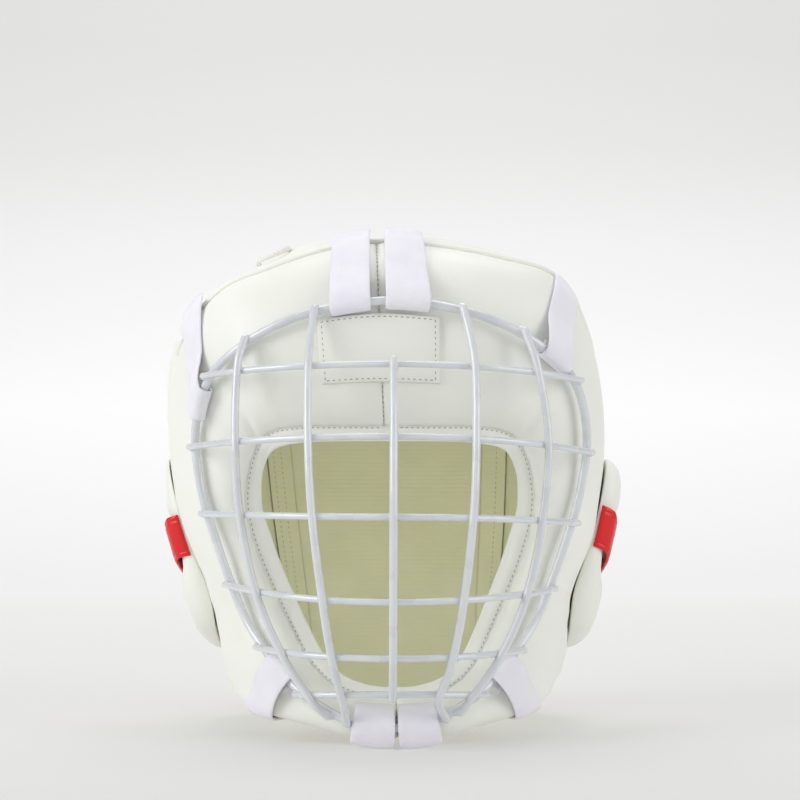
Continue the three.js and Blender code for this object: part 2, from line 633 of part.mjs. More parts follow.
function upright({ across, top, bottom }) {
  const overCross = (UPRIGHT_WIRE + CROSS_WIRE) / 2 - WELD;
  const overRing = (UPRIGHT_WIRE + RING_WIRE) / 2 - WELD;
  const points = across.map((x, i) => bulgeOff(onCrossWire(CROSS_WIRES[i], x), overCross));
  if (top) points.unshift(bulgeOff(ringAt(top), overRing));
  if (bottom) points.push(bulgeOff(ringAt(bottom), overRing));
  return strand(points, UPRIGHT_WIRE, WIRE_SIDES, 14);
}

// Face cage: ring, cross wires and uprights welded into one body
function faceCage() {
  const half = (side) => {
    const stations = steps(-RING_LAP, CHIN + RING_LAP, 30);
    const points = stations.map((station) => ringAt(station).multiply(vec(side, 1, 1)));
    return strand(points, RING_WIRE, WIRE_SIDES, 34);
  };
  const wires = [half(1), half(-1), ...CROSS_WIRES.map(crossWire), ...UPRIGHTS.map(upright)];
  return geometryOf(wires.map(solid).reduce((whole, wire) => whole.add(wire)));
}

const leather = new THREE.MeshStandardMaterial({ color: "#f2f2ea", roughness: 0.55 });
const coatedWire = new THREE.MeshStandardMaterial({ color: "#f1f2f4", roughness: 0.35 });
const whiteTape = new THREE.MeshStandardMaterial({ color: "#eceaf3", roughness: 0.9 });
const redLeather = new THREE.MeshStandardMaterial({ color: "#d2232a", roughness: 0.4 });
const whiteCord = new THREE.MeshStandardMaterial({ color: "#f4f4f2", roughness: 0.8 });

const guard = new THREE.Group();
const add = (name, geometry, material) => {
  const mesh = new THREE.Mesh(geometry, material);
  mesh.name = name;
  guard.add(mesh);
};

// Tapes by the station of their ring end, that of their sewn end and its place along the section, on each
// side. The tapes were set by hand and differ a little.
const TAPES = [
  { name: "top_strap", left: [0.5, 0.42, 1.07], right: [0.52, 0.4, 1.07], route: TOP_TAPE },
  { name: "temple_strap", left: [3.33, 3.2, 0.97], right: [4.43, 3.45, 1.04], route: TEMPLE_TAPE },
  {
    name: "jaw_strap",
    left: [10.82, 11.3, 1],
    right: [10.78, 11.4, 1],
    route: { ...JAW_TAPE, underRim: TAPE_UNDER_RIM },
  },
  {
    name: "chin_strap",
    left: [13.52, 13.5, 1],
    right: [13.5, 13.5, 1],
    route: { ...CHIN_TAPE, underRim: TAPE_UNDER_RIM },
  },
];

for (const [sideName, side] of [["left", 1], ["right", -1]]) {
  add(`front_pad_${sideName}`, frontPad(side), leather);
  add(`crown_pad_${sideName}`, crownPad(side), leather);
  add(`side_pad_${sideName}`, sidePad(side), leather);
  add(`ear_pad_${sideName}`, earPad(side), leather);
  for (const { name, route, [sideName]: [station, foot, reach] } of TAPES) {
    const strap = tape({ ...route, station: side * station, foot: side * foot, reach });
    add(`${name}_${sideName}`, strap, whiteTape);
  }
}
add("back_pad", backPad(), leather);
add("brow_patch", browPatch(), leather);
add("face_cage", faceCage(), coatedWire);
add("rear_strap", rearStrap(), redLeather);
add("crown_cord", crownCord(), whiteCord);

guard.position.set(0, HEAD_AXIS_Y, 0);

export default guard;
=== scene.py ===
"""Looks of a martial arts head guard: white leather pads, a coated wire cage and hook-and-loop tapes.

Surfaces are worked out in millimetres from the head axis and put into the shared frame in metres.
A station runs round the face: 0 is the middle of the brow, 6 the cheek, 9 the jaw corner and 14 the
chin, negative on the wearer's right. A section of the front pad runs from the stitch line of its hem
(0) to its seam (1), and a section of a rear panel from that seam (0) to the back pad (1).
"""

from functools import partial

import bmesh
import bpy
import numpy as np
from mathutils import Matrix


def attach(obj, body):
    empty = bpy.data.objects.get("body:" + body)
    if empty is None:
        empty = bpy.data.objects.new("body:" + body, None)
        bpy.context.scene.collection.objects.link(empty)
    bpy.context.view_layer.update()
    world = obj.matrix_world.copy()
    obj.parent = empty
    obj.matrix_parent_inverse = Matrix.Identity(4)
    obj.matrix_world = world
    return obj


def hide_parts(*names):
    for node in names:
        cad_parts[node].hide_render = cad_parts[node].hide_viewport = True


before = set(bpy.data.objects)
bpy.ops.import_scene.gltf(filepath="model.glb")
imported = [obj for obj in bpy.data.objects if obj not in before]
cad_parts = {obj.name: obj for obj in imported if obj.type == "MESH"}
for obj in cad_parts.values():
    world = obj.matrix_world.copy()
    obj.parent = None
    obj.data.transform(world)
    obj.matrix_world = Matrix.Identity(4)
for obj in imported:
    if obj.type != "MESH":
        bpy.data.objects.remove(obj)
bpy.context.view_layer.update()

SIDES = {"left": 1, "right": -1}

# Sizes of the shell, in millimetres, and its leans
HEAD_AXIS_Y = 19.7
SEAM_THICKNESS = 8
SEAM_DEPTH = 2.5  # how far below the skin two panels meet at a seam
SEAM_ROLL = 5  # distance from a seam over which a pad fills out
HEM_THICKNESS = 4
HEM_RISE = 1.5
HEM_BULGE = 0.9
PAD_SWELL_OUT = 3.5
PAD_SWELL_IN = 10
AXIS_SHIFT_Y = 5
AXIS_TOP_Z = 150
SEAM_LEAN = -0.043
SEAM_LEAN_Z = 76
SEAM_LEAN_REACH = 55
SIDE_LEAN = 0.8
SIDE_LEAN_Y = (-85, -35)
TIP_Z = (185, 230)
LIFT_LEAN = 0.25
LINING_LEAVE = 0.3
LINING_ROLL = 0.5
LINING_END = 0.04  # share at which the lining ends, short of the rim

# Stations of the back pad's top, the jaw corner and the chin, and how near the middle seams the ring is read
NAPE_FROM = 4
JAW = 9
CHIN = 14
MIDDLE_CLEAR = 0.02

# Relief of the pads. Puckers have a height, a distance over which they fade and a length, dents a height and
# a size, and folds a depth, a station, its slant and width, and a share along the section and its width
SEAM_PULL = {"hem": 0.9, "middle": 1.7, "reach": 4}
HEM_PUCKERS = (0.25, 4, 9)
MIDDLE_PUCKERS = (0.3, 5, 12)
JAW_PUCKERS = (0.5, 11, 17)
JAW_PUCKERS_AT = (9, 2.2)
UNEVEN_HEM = (1, 40)  # dents that make the puckers uneven
UNEVEN_JAW = (1.6, 60)
DENT_CLEAR = 16  # distance from a seam over which dents die away
FRONT_DENTS = (0.45, 48)
JAW_DENTS = (0.8, 26)
JAW_DENTS_AT = (10.5, 2.4)
SKIN_DENTS = (0.5, 45)
LINING_DENTS = (0.5, 50)
EAR_DENTS = (0.4, 26)
FOLDS = ((1.5, 3.5, 0.7, 0.2, 0.16, 0.2), (1.1, 2.55, -0.5, 0.24, 0.36, 0.15))
FOLD_CLEAR = 10
CROWN_FOLD = {1: 0.6, -1: 3}
CROWN_FOLD_AT = (1.15, 0.45)
CROWN_FOLD_SHARE = (0.13, 0.1)

# Ear pads: middle and half sizes in stations and along the panel, share that rolls over, how much lower the
# top is at the rim, height of the rim's seam and gap below. Then thickness, more below and less above
EAR = {
    "station": 7.3, "along": 0.24, "stations": 1.5, "alongs": 0.2, "front": 0.222,
    "roll": 0.22, "slope": 0.2, "seam": 0.15, "gap": 0.4,
}
EAR_HEIGHT = {1: 9.9, -1: 7.7}
EAR_FLARE = {"from": 7.0, "to": 8.1, 1: 4.5, -1: 5.2}
EAR_THIN = {"from": 6, "to": 7, 1: 0, -1: 4}
EAR_CORNERS = {"top": 0.9, "bottom": 0.5}

# Rear strap, how it presses the ear pads, and where along a side pad it leaves the seam, climbs the ear pad,
# comes down again and levels out from its lifted front end
REAR_STRAP = {
    "width": 22, "thickness": 2, "gap": 0.8, "station": 7.1, "drop": 0.75, "start": 0.012, "hem": 0.76,
}
STRAP_PRESS = 0.3
STRAP_PRESS_REACH = 0.55
STRAP_LEAVES_SEAM = (0, 0.1)
STRAP_CLIMB = (-0.005, 0.055)
STRAP_FALL = (0.4, 0.62)
STRAP_LIFT = {1: 0.22, -1: 0.06}
STRAP_LEVELS_OUT = (0, 0.12)

# Other pieces on the shell
PATCH = {
    "low": 0.3, "high": 0.57, "low_ends": (-1.28, 1.14), "high_ends": (-1.2, 1.06), "thickness": 1.4,
    "gap": 0.4, "inset": (0.04, 0.06), "edge_power": 14,
}
TAPE = {"thickness": 1.6, "gap": 0.6, "tail": 6}
SEAM_BRIDGE = {"height": 2.2, "reach": 0.1}
CORD = {"diameter": 2.6, "spread": 1.02, "width": 0.27, "gap": 0.03, "height": 2, "bend_height": 3.6}
CORD_ROOT = {"station": -0.1, "share": 0.66}
CORD_BEND = {"station": -1.74, "share": 0.1}
PIPING = {"diameter": 2.6, "ends": 4.3, "proud": 0.2}
LINING_TAPE = {
    "stations": (4.25, 8.85), "along": 0.92, "across": 0.72, "gap": 0.9, "sag": 8, "thickness": 1,
}
LINING_SEWN = {1: (0.45,), -1: (0.3, 0.62)}  # shares across the tape

# Stitches: spacing, length and width, and how far their middle is above or below the skin
PATCH_STITCH = (2.7, 1.5, 0.5)
HEM_STITCH = (2.6, 1.3, 0.42)
SEAM_STITCH = (2.6, 1.9, 0.5)
LINING_STITCH = (2.8, 1.7, 0.5)
STITCH_SINK = 0.05
STITCH_PROUD = {"hem": 0.1, "seam": 0.2, "lining": 0.5}

# Sizes of the cage
RING_WIRE = 4.2
CROSS_WIRE = 3.2
UPRIGHT_WIRE = 3.8
WELD = 0.5  # how far welded wires sink into each other
BEAD = {"radius": 1.9, "sink": 1, "over_cross": 0.45, "over_ring": 0.5}
RING_STANDOFF = 5
WIRE_OVERSHOOT = 1.8
BOW_ROUNDNESS = 0.3
BULGE_CENTRE = np.array([0.0, -40.0, 105.0])

FORWARD = np.array([0.0, -1.0, 0.0])
UP = np.array([0.0, 0.0, 1.0])
SIDEWAYS = np.array([1.0, 0.0, 0.0])

# Front pad, a row for each station: edge of the opening X Y Z, seam X Y Z, hem width, how far the skin
# leaves the hem forwards, how far it rolls in to the seam, where along it the cage's ring lies, and how
# much the roll leans outwards
FRONT = np.array([
    [0, -96, 144.5, 0, -86, 241.1, 7, 24, 34, 0.606, -0.25],
    [21, -95.5, 144.5, 28.6, -85, 237.8, 7, 24, 34, 0.599, -0.25],
    [40, -92.5, 144, 56, -81, 231.4, 7.5, 23, 33, 0.574, -0.25],
    [55, -86, 141, 82, -71.5, 222.5, 8, 22, 32, 0.526, -0.22],
    [61, -79, 132, 100, -55.5, 199, 8.5, 22, 33, 0.538, -0.08],
    [62.5, -74.5, 121.5, 108, -40, 167, 9, 23, 34, 0.51, 0.08],
    [62, -71.5, 111.5, 109, -28.5, 133.5, 9, 24, 34, 0.43, 0.15],
    [58.5, -69.5, 99.5, 103.2, -23, 100, 9, 26, 33, 0.37, 0.15],
    [53.5, -69.5, 85, 92.6, -21, 71.5, 8.5, 28, 32, 0.36, 0.15],
    [47.5, -71.5, 70.5, 87.5, -24, 46, 8, 28, 32, 0.345, 0.15],
    [41, -76.5, 56, 81.5, -46, 27, 7.5, 26, 26, 0.32, 0.15],
    [33.5, -83, 42, 69.5, -71.5, 16, 7, 25, 22, 0.32, 0.15],
    [24.5, -89.5, 32.5, 47, -90.5, 10.5, 6, 25, 18, 0.38, 0.15],
    [12.5, -93.5, 28, 23, -99, 5, 5, 26, 17, 0.455, 0.15],
    [0, -94.5, 27, 0, -101, 3.5, 4, 26, 17, 0.5, 0.15],
])

# Crown and side pads, stations 0 to 9: how a section leaves the front seam and arrives at the back one
REAR = np.array([
    [0, 54, 17, 0, -8, 38],
    [3, 54, 16, 4, -8, 37],
    [7, 53, 10, 11, -9, 33],
    [11, 50, 6, 20, -11, 27],
    [12, 46, 7, 28, -14, 18],
    [7, 46, 3, 31, -18, 6],
    [4, 44, 0, 32, -20, 2],
    [3, 42, 0, 31, -18, 0],
    [4, 40, 0, 28, -16, 0],
    [4, 38, 0, 26, -14, 0],
])

# Back pad, stations 4 to 9: corner X Y Z, then Y and Z of its middle
NAPE = np.array([
    [68, 79, 182, 97, 196],
    [69.5, 85, 150, 106, 154],
    [67.5, 88, 115, 109, 117],
    [64, 88, 80, 108, 81],
    [60, 85, 42, 104, 42],
    [56, 81, 0, 99, 0],
])

# Cross wires from top to bottom: stations of their left and right ends on the ring, front and height of
# their middle
CROSS_WIRES = np.array([
    [4.04, 3.94, -132, 178.8], [5.42, 5.32, -145, 145.1], [6.72, 6.54, -148, 108.6],
    [8.11, 8.01, -146, 70], [9.88, 9.78, -140, 44], [11.57, 11.57, -132, 26.9],
])

# Uprights: where each crosses the cross wires, and the stations of its ends on the ring
UPRIGHTS = [
    {"across": [1.3, 1.2, 1.1, 1, 0.9, 0.7]},
    {"across": [37.8, 37.9, 36.4, 32.2, 27.4, 21.8], "ends": (1.24, 12.74)},
    {"across": [-37.1, -36.9, -34.9, -30.3, -26.3, -22.1], "ends": (-1.32, -13.03)},
    {"across": [67.1, 71.6, 68.7, 61.5, 49.5, 36], "ends": (2.4, 12.45)},
    {"across": [-70.3, -70.7, -68.5, -61, -49.1, -36.5], "ends": (-2.68, -12.62)},
]

# Tapes: on each side the station on the ring, that of the sewn end and how far along the section it is,
# then the route that both share
TAPES = {
    "top_strap": {"left": (0.5, 0.42, 1.07), "right": (0.52, 0.4, 1.07), "route": {"foot_width": 17.5}},
    "temple_strap": {"left": (3.33, 3.2, 0.97), "right": (4.43, 3.45, 1.04), "route": {"width": 17}},
    "jaw_strap": {
        "left": (10.82, 11.3, 1), "right": (10.78, 11.4, 1), "route": {"width": 18, "under_rim": 9},
    },
    "chin_strap": {
        "left": (13.52, 13.5, 1), "right": (13.5, 13.5, 1),
        "route": {"start": 0.2, "width": 19, "foot_width": 18.5, "settle": 12, "under_rim": 9},
    },
}


def unit(vectors):
    """Each vector divided by its own length."""
    return vectors / np.maximum(np.linalg.norm(vectors, axis=-1, keepdims=True), 1e-9)


def along_curve(a, b, c, d, f):
    """Catmull-Rom cubic from b to c, its slope at each the half difference of the neighbours."""
    return b + 0.5 * f * (c - a + f * (2 * a - 5 * b + 4 * c - d + f * (3 * (b - c) + d - a)))


def read_table(rows, at, odd=()):
    """Table read between its rows: a Catmull-Rom curve down each column. Past both ends the table is
    mirrored, and there the odd columns change sign."""
    sign = np.ones(rows.shape[1])
    sign[list(odd)] = -1
    table = np.concatenate([rows[2:0:-1] * sign, rows, rows[-2:-4:-1] * sign])
    row = np.clip(np.floor(at).astype(int) + 2, 1, len(table) - 3)
    return along_curve(*(table[row + step] for step in (-1, 0, 1, 2)), (at + 2 - row)[..., None])


def through(points, count):
    """Smooth line through points: a Catmull-Rom curve, carried on straight past both ends."""
    first, last = 2 * points[:1] - points[1:2], 2 * points[-1:] - points[-2:-1]
    table = np.concatenate([first, points, last])
    at = np.linspace(0, len(points) - 1, count)
    row = np.minimum(at.astype(int), len(points) - 2) + 1
    return along_curve(*(table[row + step] for step in (-1, 0, 1, 2)), (at + 1 - row)[:, None])


def bezier(a, b, c, d, share):
    """Cubic curve that leaves a towards b and arrives at d from c."""
    s = np.asarray(share, float)[..., None]
    r = 1 - s
    return r**3 * a + 3 * r * r * s * b + 3 * r * s * s * c + s**3 * d


def inward(points):
    """Direction to the middle of the head: to an upright line behind the head axis, level below the
    axis top and down towards that top above it."""
    z = np.minimum(points[..., 2], AXIS_TOP_Z)
    return unit(np.stack([0 * z, 0 * z + AXIS_SHIFT_Y, z], -1) - points)


def placed(points, side):
    """Left half put on its side and moved with the leaning shell: x gains the lean times the height over
    its pivot, in full near the middle by a bell curve of x and in part further back by a smooth step of
    y. The crown tips with it: z gains the lean times x by a smooth step of the height."""
    x, y, z = side * points[..., 0], points[..., 1], points[..., 2]
    near_middle = bell(x, 0, SEAM_LEAN_REACH)
    share = near_middle + (1 - near_middle) * SIDE_LEAN * smooth_step(y, *SIDE_LEAN_Y)
    lean = SEAM_LEAN * (z - SEAM_LEAN_Z) * share
    return np.stack([x + lean, y, z - SEAM_LEAN * x * smooth_step(z, *TIP_Z)], -1)


def smooth_step(value, low, high):
    """0 below low, 1 above high, and three squares less two cubes between."""
    t = np.clip((value - low) / (high - low), 0, 1)
    return t * t * (3 - 2 * t)


def side_of(station):
    """-1 on the wearer's right and 1 on the left."""
    return np.where(station < 0, -1, 1)


def front_section(station):
    """Landmarks of a front pad's section: edge, seam, direction outwards across the face, stitch line of
    the hem, lift off the hem, roll to the seam, place of the ring and lean of the roll."""
    row = read_table(FRONT, np.abs(station), (0, 3))
    edge, seam = row[..., 0:3], row[..., 3:6]
    hem, lift, roll, ring, lean = (row[..., k : k + 1] for k in (6, 7, 8, 9, 10))
    outwards = unit((seam - edge) * [1, 0, 1])
    return edge, seam, outwards, edge + outwards * hem + FORWARD * HEM_RISE, lift, roll, ring, lean


def ring_share(station):
    """Where along its section the ring lies."""
    return front_section(station)[6][..., 0]


def front_base(station, along):
    """Skin of the left front pad without the lean: a cubic from the stitch line, left forwards, to the
    seam, met from in front."""
    _, seam, outwards, stitch, lift, roll, _, lean = front_section(station)
    leave = stitch + unit(FORWARD + outwards * LIFT_LEAN) * lift
    arrive = seam + unit(FORWARD + outwards * lean) * roll
    return bezier(stitch, leave, arrive, seam, along)


def front_skin(station, along):
    """Skin of both front pads, by the sign of the station."""
    return placed(front_base(station, along), side_of(station))


def front_lining(station, along):
    """Lining of the left front pad: a cubic from behind the edge of the opening to inside the seam."""
    edge, seam, outwards, _, _, roll, _, _ = front_section(station)
    start = edge - FORWARD * HEM_THICKNESS
    end = seam + inward(seam) * SEAM_THICKNESS
    reach = np.linalg.norm(end - start, axis=-1, keepdims=True)
    leave = start + outwards * LINING_LEAVE * reach
    return bezier(start, leave, end + FORWARD * LINING_ROLL * roll, end, along)


def back_base(station, across):
    """Back pad without its swell, across from -1 to 1: x is the corner's times the sine of a quarter
    turn, y and z go from corner to middle as the square of its cosine."""
    row = read_table(NAPE, station - NAPE_FROM)
    angle = across * np.pi / 2
    middle = np.cos(angle) ** 2
    y = row[..., 1] + (row[..., 3] - row[..., 1]) * middle
    z = row[..., 2] + (row[..., 4] - row[..., 2]) * middle
    return np.stack([row[..., 0] * np.sin(angle), y, z], -1)


def rear_base(station, along):
    """Crown and side pads of the left half without their swell: a cubic from the front seam to the
    back pad's top edge or corner."""
    level = np.abs(station)
    seam = front_section(level)[1]
    row = read_table(REAR, level, (0, 3))
    on_top = back_base(0 * level + NAPE_FROM, np.minimum(level / NAPE_FROM, 1))
    on_corner = back_base(np.maximum(level, NAPE_FROM), 0 * level + 1)
    back = np.where(level[..., None] < NAPE_FROM, on_top, on_corner)
    return bezier(seam, seam + row[..., 0:3], back + row[..., 3:6], back, along)


def swell(share):
    """Fullness between two seams: 1 less the fourth power of the distance from the middle."""
    return 1 - (2 * share - 1) ** 4


def raised(base, height, side):
    """Points of a rear panel moved away from the head by a height."""
    return placed(base - inward(base) * np.asarray(height)[..., None], side)


def over_shell(station, along):
    """Front skin for along 0 to 1, and the swollen rear panel behind it for 1 to 2."""
    behind = np.clip(along - 1, 0, 1)
    rear = raised(rear_base(station, behind), PAD_SWELL_OUT * swell(behind), side_of(station))
    return np.where((along <= 1)[..., None], front_skin(station, np.minimum(along, 1)), rear)


def facing(surface, station, along):
    """Outward direction: the cross product of the surface's two slopes, by small steps."""
    step = 0.01
    around = surface(station + step, along) - surface(station - step, along)
    outwards = surface(station, along + step) - surface(station, along - step)
    return unit(np.cross(around, outwards))


def lifted(surface, station, along, height):
    """A surface moved out by a height along its own outward direction."""
    return surface(station, along) + facing(surface, station, along) * np.asarray(height)[..., None]


def station_width(surface, station, along, half=0.05):
    """Length of one station on a surface, from a step of half a width to both sides."""
    step = surface(station + half, along) - surface(station - half, along)
    return np.linalg.norm(step, axis=-1) / (2 * half)


def ring_at(station):
    """Middle line of the cage's ring: the unleaned skin at the ring's share, moved out by its standoff.
    Negative stations, and those past the chin, are on the other side."""
    level = np.abs(np.where(station > CHIN, 2 * CHIN - station, station))
    level = np.clip(level, MIDDLE_CLEAR, CHIN - MIDDLE_CLEAR)
    points = lifted(front_base, level, ring_share(level), RING_STANDOFF)
    mirror = np.where((station < 0) | (station > CHIN), -1, 1)
    return points * np.stack([mirror, 0 * mirror + 1, 0 * mirror + 1], -1)


def normals_of(grid):
    """Outward direction on a grid: the cross product of its row and column slopes."""
    return unit(np.cross(np.gradient(grid, axis=0), np.gradient(grid, axis=1)))


def run_length(points, axis=0):
    """Distance from the first point along an axis of a grid: its steps added up."""
    steps = np.linalg.norm(np.diff(points, axis=axis), axis=-1)
    first = np.zeros_like(np.take(steps, [0], axis=axis))
    return np.cumsum(np.concatenate([first, steps], axis=axis), axis=axis)


def border_distance(grid, axis):
    """Distance to the nearer end of a grid along an axis."""
    run = run_length(grid, axis)
    return np.minimum(run, run.max(axis=axis, keepdims=True) - run)


def rounded(distance, reach=SEAM_ROLL):
    """How far a pad has filled out at a distance from a seam: a quarter of a circle, 0 to 1."""
    return np.sqrt(1 - (1 - np.clip(distance / reach, 0, 1)) ** 2)


def eased(start, end, count, ease=0.5):
    """Steps from start to end that are closer together near both, by a share of a cosine."""
    t = np.linspace(0, 1, count)
    return start + (end - start) * ((1 - ease) * t + ease * (0.5 - 0.5 * np.cos(np.pi * t)))


def dents(points, height, size, seed):
    """Soft uneven surface of foam under leather: a sum of sine waves of about a size in random
    directions, divided by about the root of half their number, which makes it about as high as asked."""
    draw = np.random.default_rng(seed)
    waves = unit(draw.normal(size=(9, 3))) * (2 * np.pi / size) * draw.uniform(0.6, 1.3, (9, 1))
    return height * (np.sin(points @ waves.T + draw.uniform(0, 2 * np.pi, 9)).sum(-1) / 2.1)


def puckers(height, fade, length, distance, run, uneven=0):
    """Puckers beside a seam: an uneven sine of the run along it that fades exponentially with distance."""
    return height * np.exp(-distance / fade) * np.sin(2 * np.pi * run / length + uneven)


def bell(value, middle, width, power=2):
    """Bell curve: e to the minus power of the distance from its middle, in widths."""
    return np.exp(-(((value - middle) / width) ** power))


def square_to(vectors, axis):
    """Each vector less its part along an axis."""
    return vectors - axis * (vectors * axis).sum(-1, keepdims=True)


# Materials

def colour(text):
    """sRGB hex as linear light: the low part divided by 12.92, the rest raised to 2.4."""
    s = np.array([int(text[k : k + 2], 16) for k in (1, 3, 5)]) / 255
    linear = np.where(s <= 0.04045, s / 12.92, ((s + 0.055) / 1.055) ** 2.4)
    return [*linear.tolist(), 1.0]


def add_node(tree, kind, sockets=None, stops=(), **settings):
    """A node with its settings. Each socket is given a value, an output to link to, or a node, whose first
    output is linked. Stops are the places and colours of a ramp."""
    node = tree.nodes.new(f"ShaderNode{kind}")
    for name, value in settings.items():
        setattr(node, name, value)
    for name, value in (sockets or {}).items():
        if isinstance(value, bpy.types.Node):
            value = value.outputs[0]
        if isinstance(value, bpy.types.NodeSocket):
            tree.links.new(value, node.inputs[name])
        else:
            node.inputs[name].default_value = value
    elements = node.color_ramp.elements if stops else ()
    for _ in stops[2:]:
        elements.new(0.5)
    for element, (position, text) in zip(elements, stops):
        element.position = position
        element.color = colour(text)
    return node


def new_material(name):
    """An empty material, what adds a node to it, and its object coordinates."""
    material = bpy.data.materials.new(name)
    material.use_nodes = True
    material.node_tree.nodes.clear()
    add = partial(add_node, material.node_tree)
    return material, add, add("TexCoord").outputs["Object"]


def show(material, sockets):
    """The material, with the sockets of its principled shader put out as the surface."""
    shader = add_node(material.node_tree, "BsdfPrincipled", sockets)
    add_node(material.node_tree, "OutputMaterial", {"Surface": shader})
    return material


def per_metre(size_mm):
    """Scale of a texture whose features repeat about every size in millimetres."""
    return 1000 / size_mm


def coated_split_leather(name, pale, shade, roughness, grain_depth):
    """Split leather under a polyurethane coat, embossed with a fine grain: a soft wide gloss, faint
    pebbles and slow clouds of tone. The real grain of about 0.7 mm is drawn at 1.3 mm so that it shows."""
    material, add, place = new_material(name)
    clouds = add("TexNoise", {"Vector": place, "Scale": per_metre(55), "Detail": 3.0})
    grain = add("TexVoronoi", {"Vector": place, "Scale": per_metre(1.3)})
    creases = add(
        "TexNoise",
        {"Vector": place, "Scale": per_metre(9), "Detail": 5.0, "Roughness": 0.62, "Distortion": 0.7},
    )
    soft = add("Bump", {"Height": creases, "Strength": 0.3, "Distance": 0.0006})
    pebbles = add("Bump", {"Height": grain, "Strength": grain_depth, "Distance": 0.00012, "Normal": soft})
    gloss = add("MapRange", {"Value": creases, "To Min": roughness - 0.07, "To Max": roughness + 0.09})
    return show(material, {
        "Base Color": add("ValToRGB", {"Fac": clouds}, ((0.35, shade), (0.65, pale))),
        "Roughness": gloss, "IOR": 1.5, "Coat Weight": 0.06, "Coat Roughness": 0.3, "Normal": pebbles,
    })


def brushed_tricot_lining(name, pale, shade):
    """Knitted polyester lining, brushed on its face: matt, with fine level ribs and a soft sheen. The
    real ribs of about 0.6 mm are drawn at 2.4 mm so that they show."""
    material, add, place = new_material(name)
    ribs = add(
        "TexWave",
        {"Vector": place, "Scale": 2 * np.pi / 20 * per_metre(2.4), "Distortion": 1.2, "Detail": 2.0,
         "Detail Scale": 1.5},
        bands_direction="Z",
    )
    clouds = add("TexNoise", {"Vector": place, "Scale": per_metre(30), "Detail": 4.0})
    fuzz = add("TexNoise", {"Vector": place, "Scale": per_metre(1.2), "Detail": 2.0})
    ridges = add("Bump", {"Height": ribs.outputs["Fac"], "Strength": 0.25, "Distance": 0.0003})
    nap = add("Bump", {"Height": fuzz, "Strength": 0.2, "Distance": 0.0003, "Normal": ridges})
    return show(material, {
        "Base Color": add("ValToRGB", {"Fac": clouds}, ((0.3, shade), (0.7, pale))),
        "Roughness": 0.9, "Sheen Weight": 0.25, "Sheen Roughness": 0.5, "Normal": nap,
    })


def dip_coated_wire(name):
    """Steel wire dipped in white nylon powder: even and smooth under a clear gloss, with the slight waves
    of a coat that flowed. A sheen stands for the light that its edges scatter."""
    material, add, place = new_material(name)
    flow = add("TexNoise", {"Vector": place, "Scale": per_metre(14), "Detail": 1.0})
    waves = add("Bump", {"Height": flow, "Strength": 0.02, "Distance": 0.0003})
    return show(material, {
        "Base Color": add("ValToRGB", {"Fac": flow}, ((0.3, "#D8DBE0"), (0.7, "#E0E3E7"))),
        "Roughness": add("MapRange", {"Value": flow, "To Min": 0.24, "To Max": 0.32}),
        "IOR": 1.53, "Coat Weight": 1.0, "Coat Roughness": 0.06, "Coat IOR": 1.6, "Sheen Weight": 0.4,
        "Sheen Roughness": 0.3, "Normal": waves,
    })


def hook_and_loop_tape(name):
    """Nylon loop tape: a mat of tangled loops, matt and faintly violet white from its brightener. Loops
    of about 0.5 mm are drawn at 1.1 mm so that they show."""
    material, add, place = new_material(name)
    loops = add(
        "TexNoise",
        {"Vector": place, "Scale": per_metre(1.1), "Detail": 3.0, "Roughness": 0.7, "Distortion": 1.5},
    )
    clouds = add("TexNoise", {"Vector": place, "Scale": per_metre(14), "Detail": 3.0})
    pile = add("Bump", {"Height": loops, "Strength": 0.55, "Distance": 0.0006})
    return show(material, {
        "Base Color": add("ValToRGB", {"Fac": clouds}, ((0.3, "#F2F0F9"), (0.7, "#F8F6FD"))),
        "Roughness": 0.92, "Sheen Weight": 0.3, "Sheen Roughness": 0.4, "Normal": pile,
    })


def braided_cord(name):
    """Round braid of polyester: two sets of strands cross at a slant, 16 strands round and a plait about
    every 2 mm, read from the piece's own map (length in metres, turns). Its colour darkens into the
    grooves between strands, as painted shade."""
    material, add, _ = new_material(name)
    run = add("UVMap", uv_map="UVMap")
    parts = add("SeparateXYZ", {"Vector": run}).outputs
    slants = []
    for strands_round in (4, -4):
        turned = add("Math", {0: parts["Y"], 1: strands_round}, operation="MULTIPLY")
        slant = add("Math", {0: parts["X"], 1: per_metre(2), 2: turned}, operation="MULTIPLY_ADD")
        slants.append(add("Math", {0: slant, 1: 0.5}, operation="PINGPONG"))
    plait = add("Math", {0: slants[0], 1: slants[1]}, operation="MULTIPLY")
    strands = add("Bump", {"Height": plait, "Strength": 0.5, "Distance": 0.0012})
    return show(material, {
        # Painted shade: the colour is darker where the plait dips, in the grooves between strands
        "Base Color": add("ValToRGB", {"Fac": plait}, ((0.0, "#EDECE3"), (0.2, "#FBFAF5"))),
        "Roughness": 0.8, "Sheen Weight": 0.2, "Normal": strands,
    })


def twisted_thread(name, tone):
    """Twisted polyester sewing thread: matt, with a slight mottle where plies turn. Its grey tones are
    painted shade, for the shadow in the stitch holes round a white thread.
    """
    material, add, place = new_material(name)
    plies = add("TexNoise", {"Vector": place, "Scale": per_metre(0.8), "Detail": 1.0})
    twist = add("Bump", {"Height": plies, "Strength": 0.3, "Distance": 0.0002})
    return show(material, {
        "Base Color": add("ValToRGB", {"Fac": plies}, ((0.3, tone), (0.8, "#B4B3A6"))),
        "Roughness": 0.75, "Normal": twist,
    })


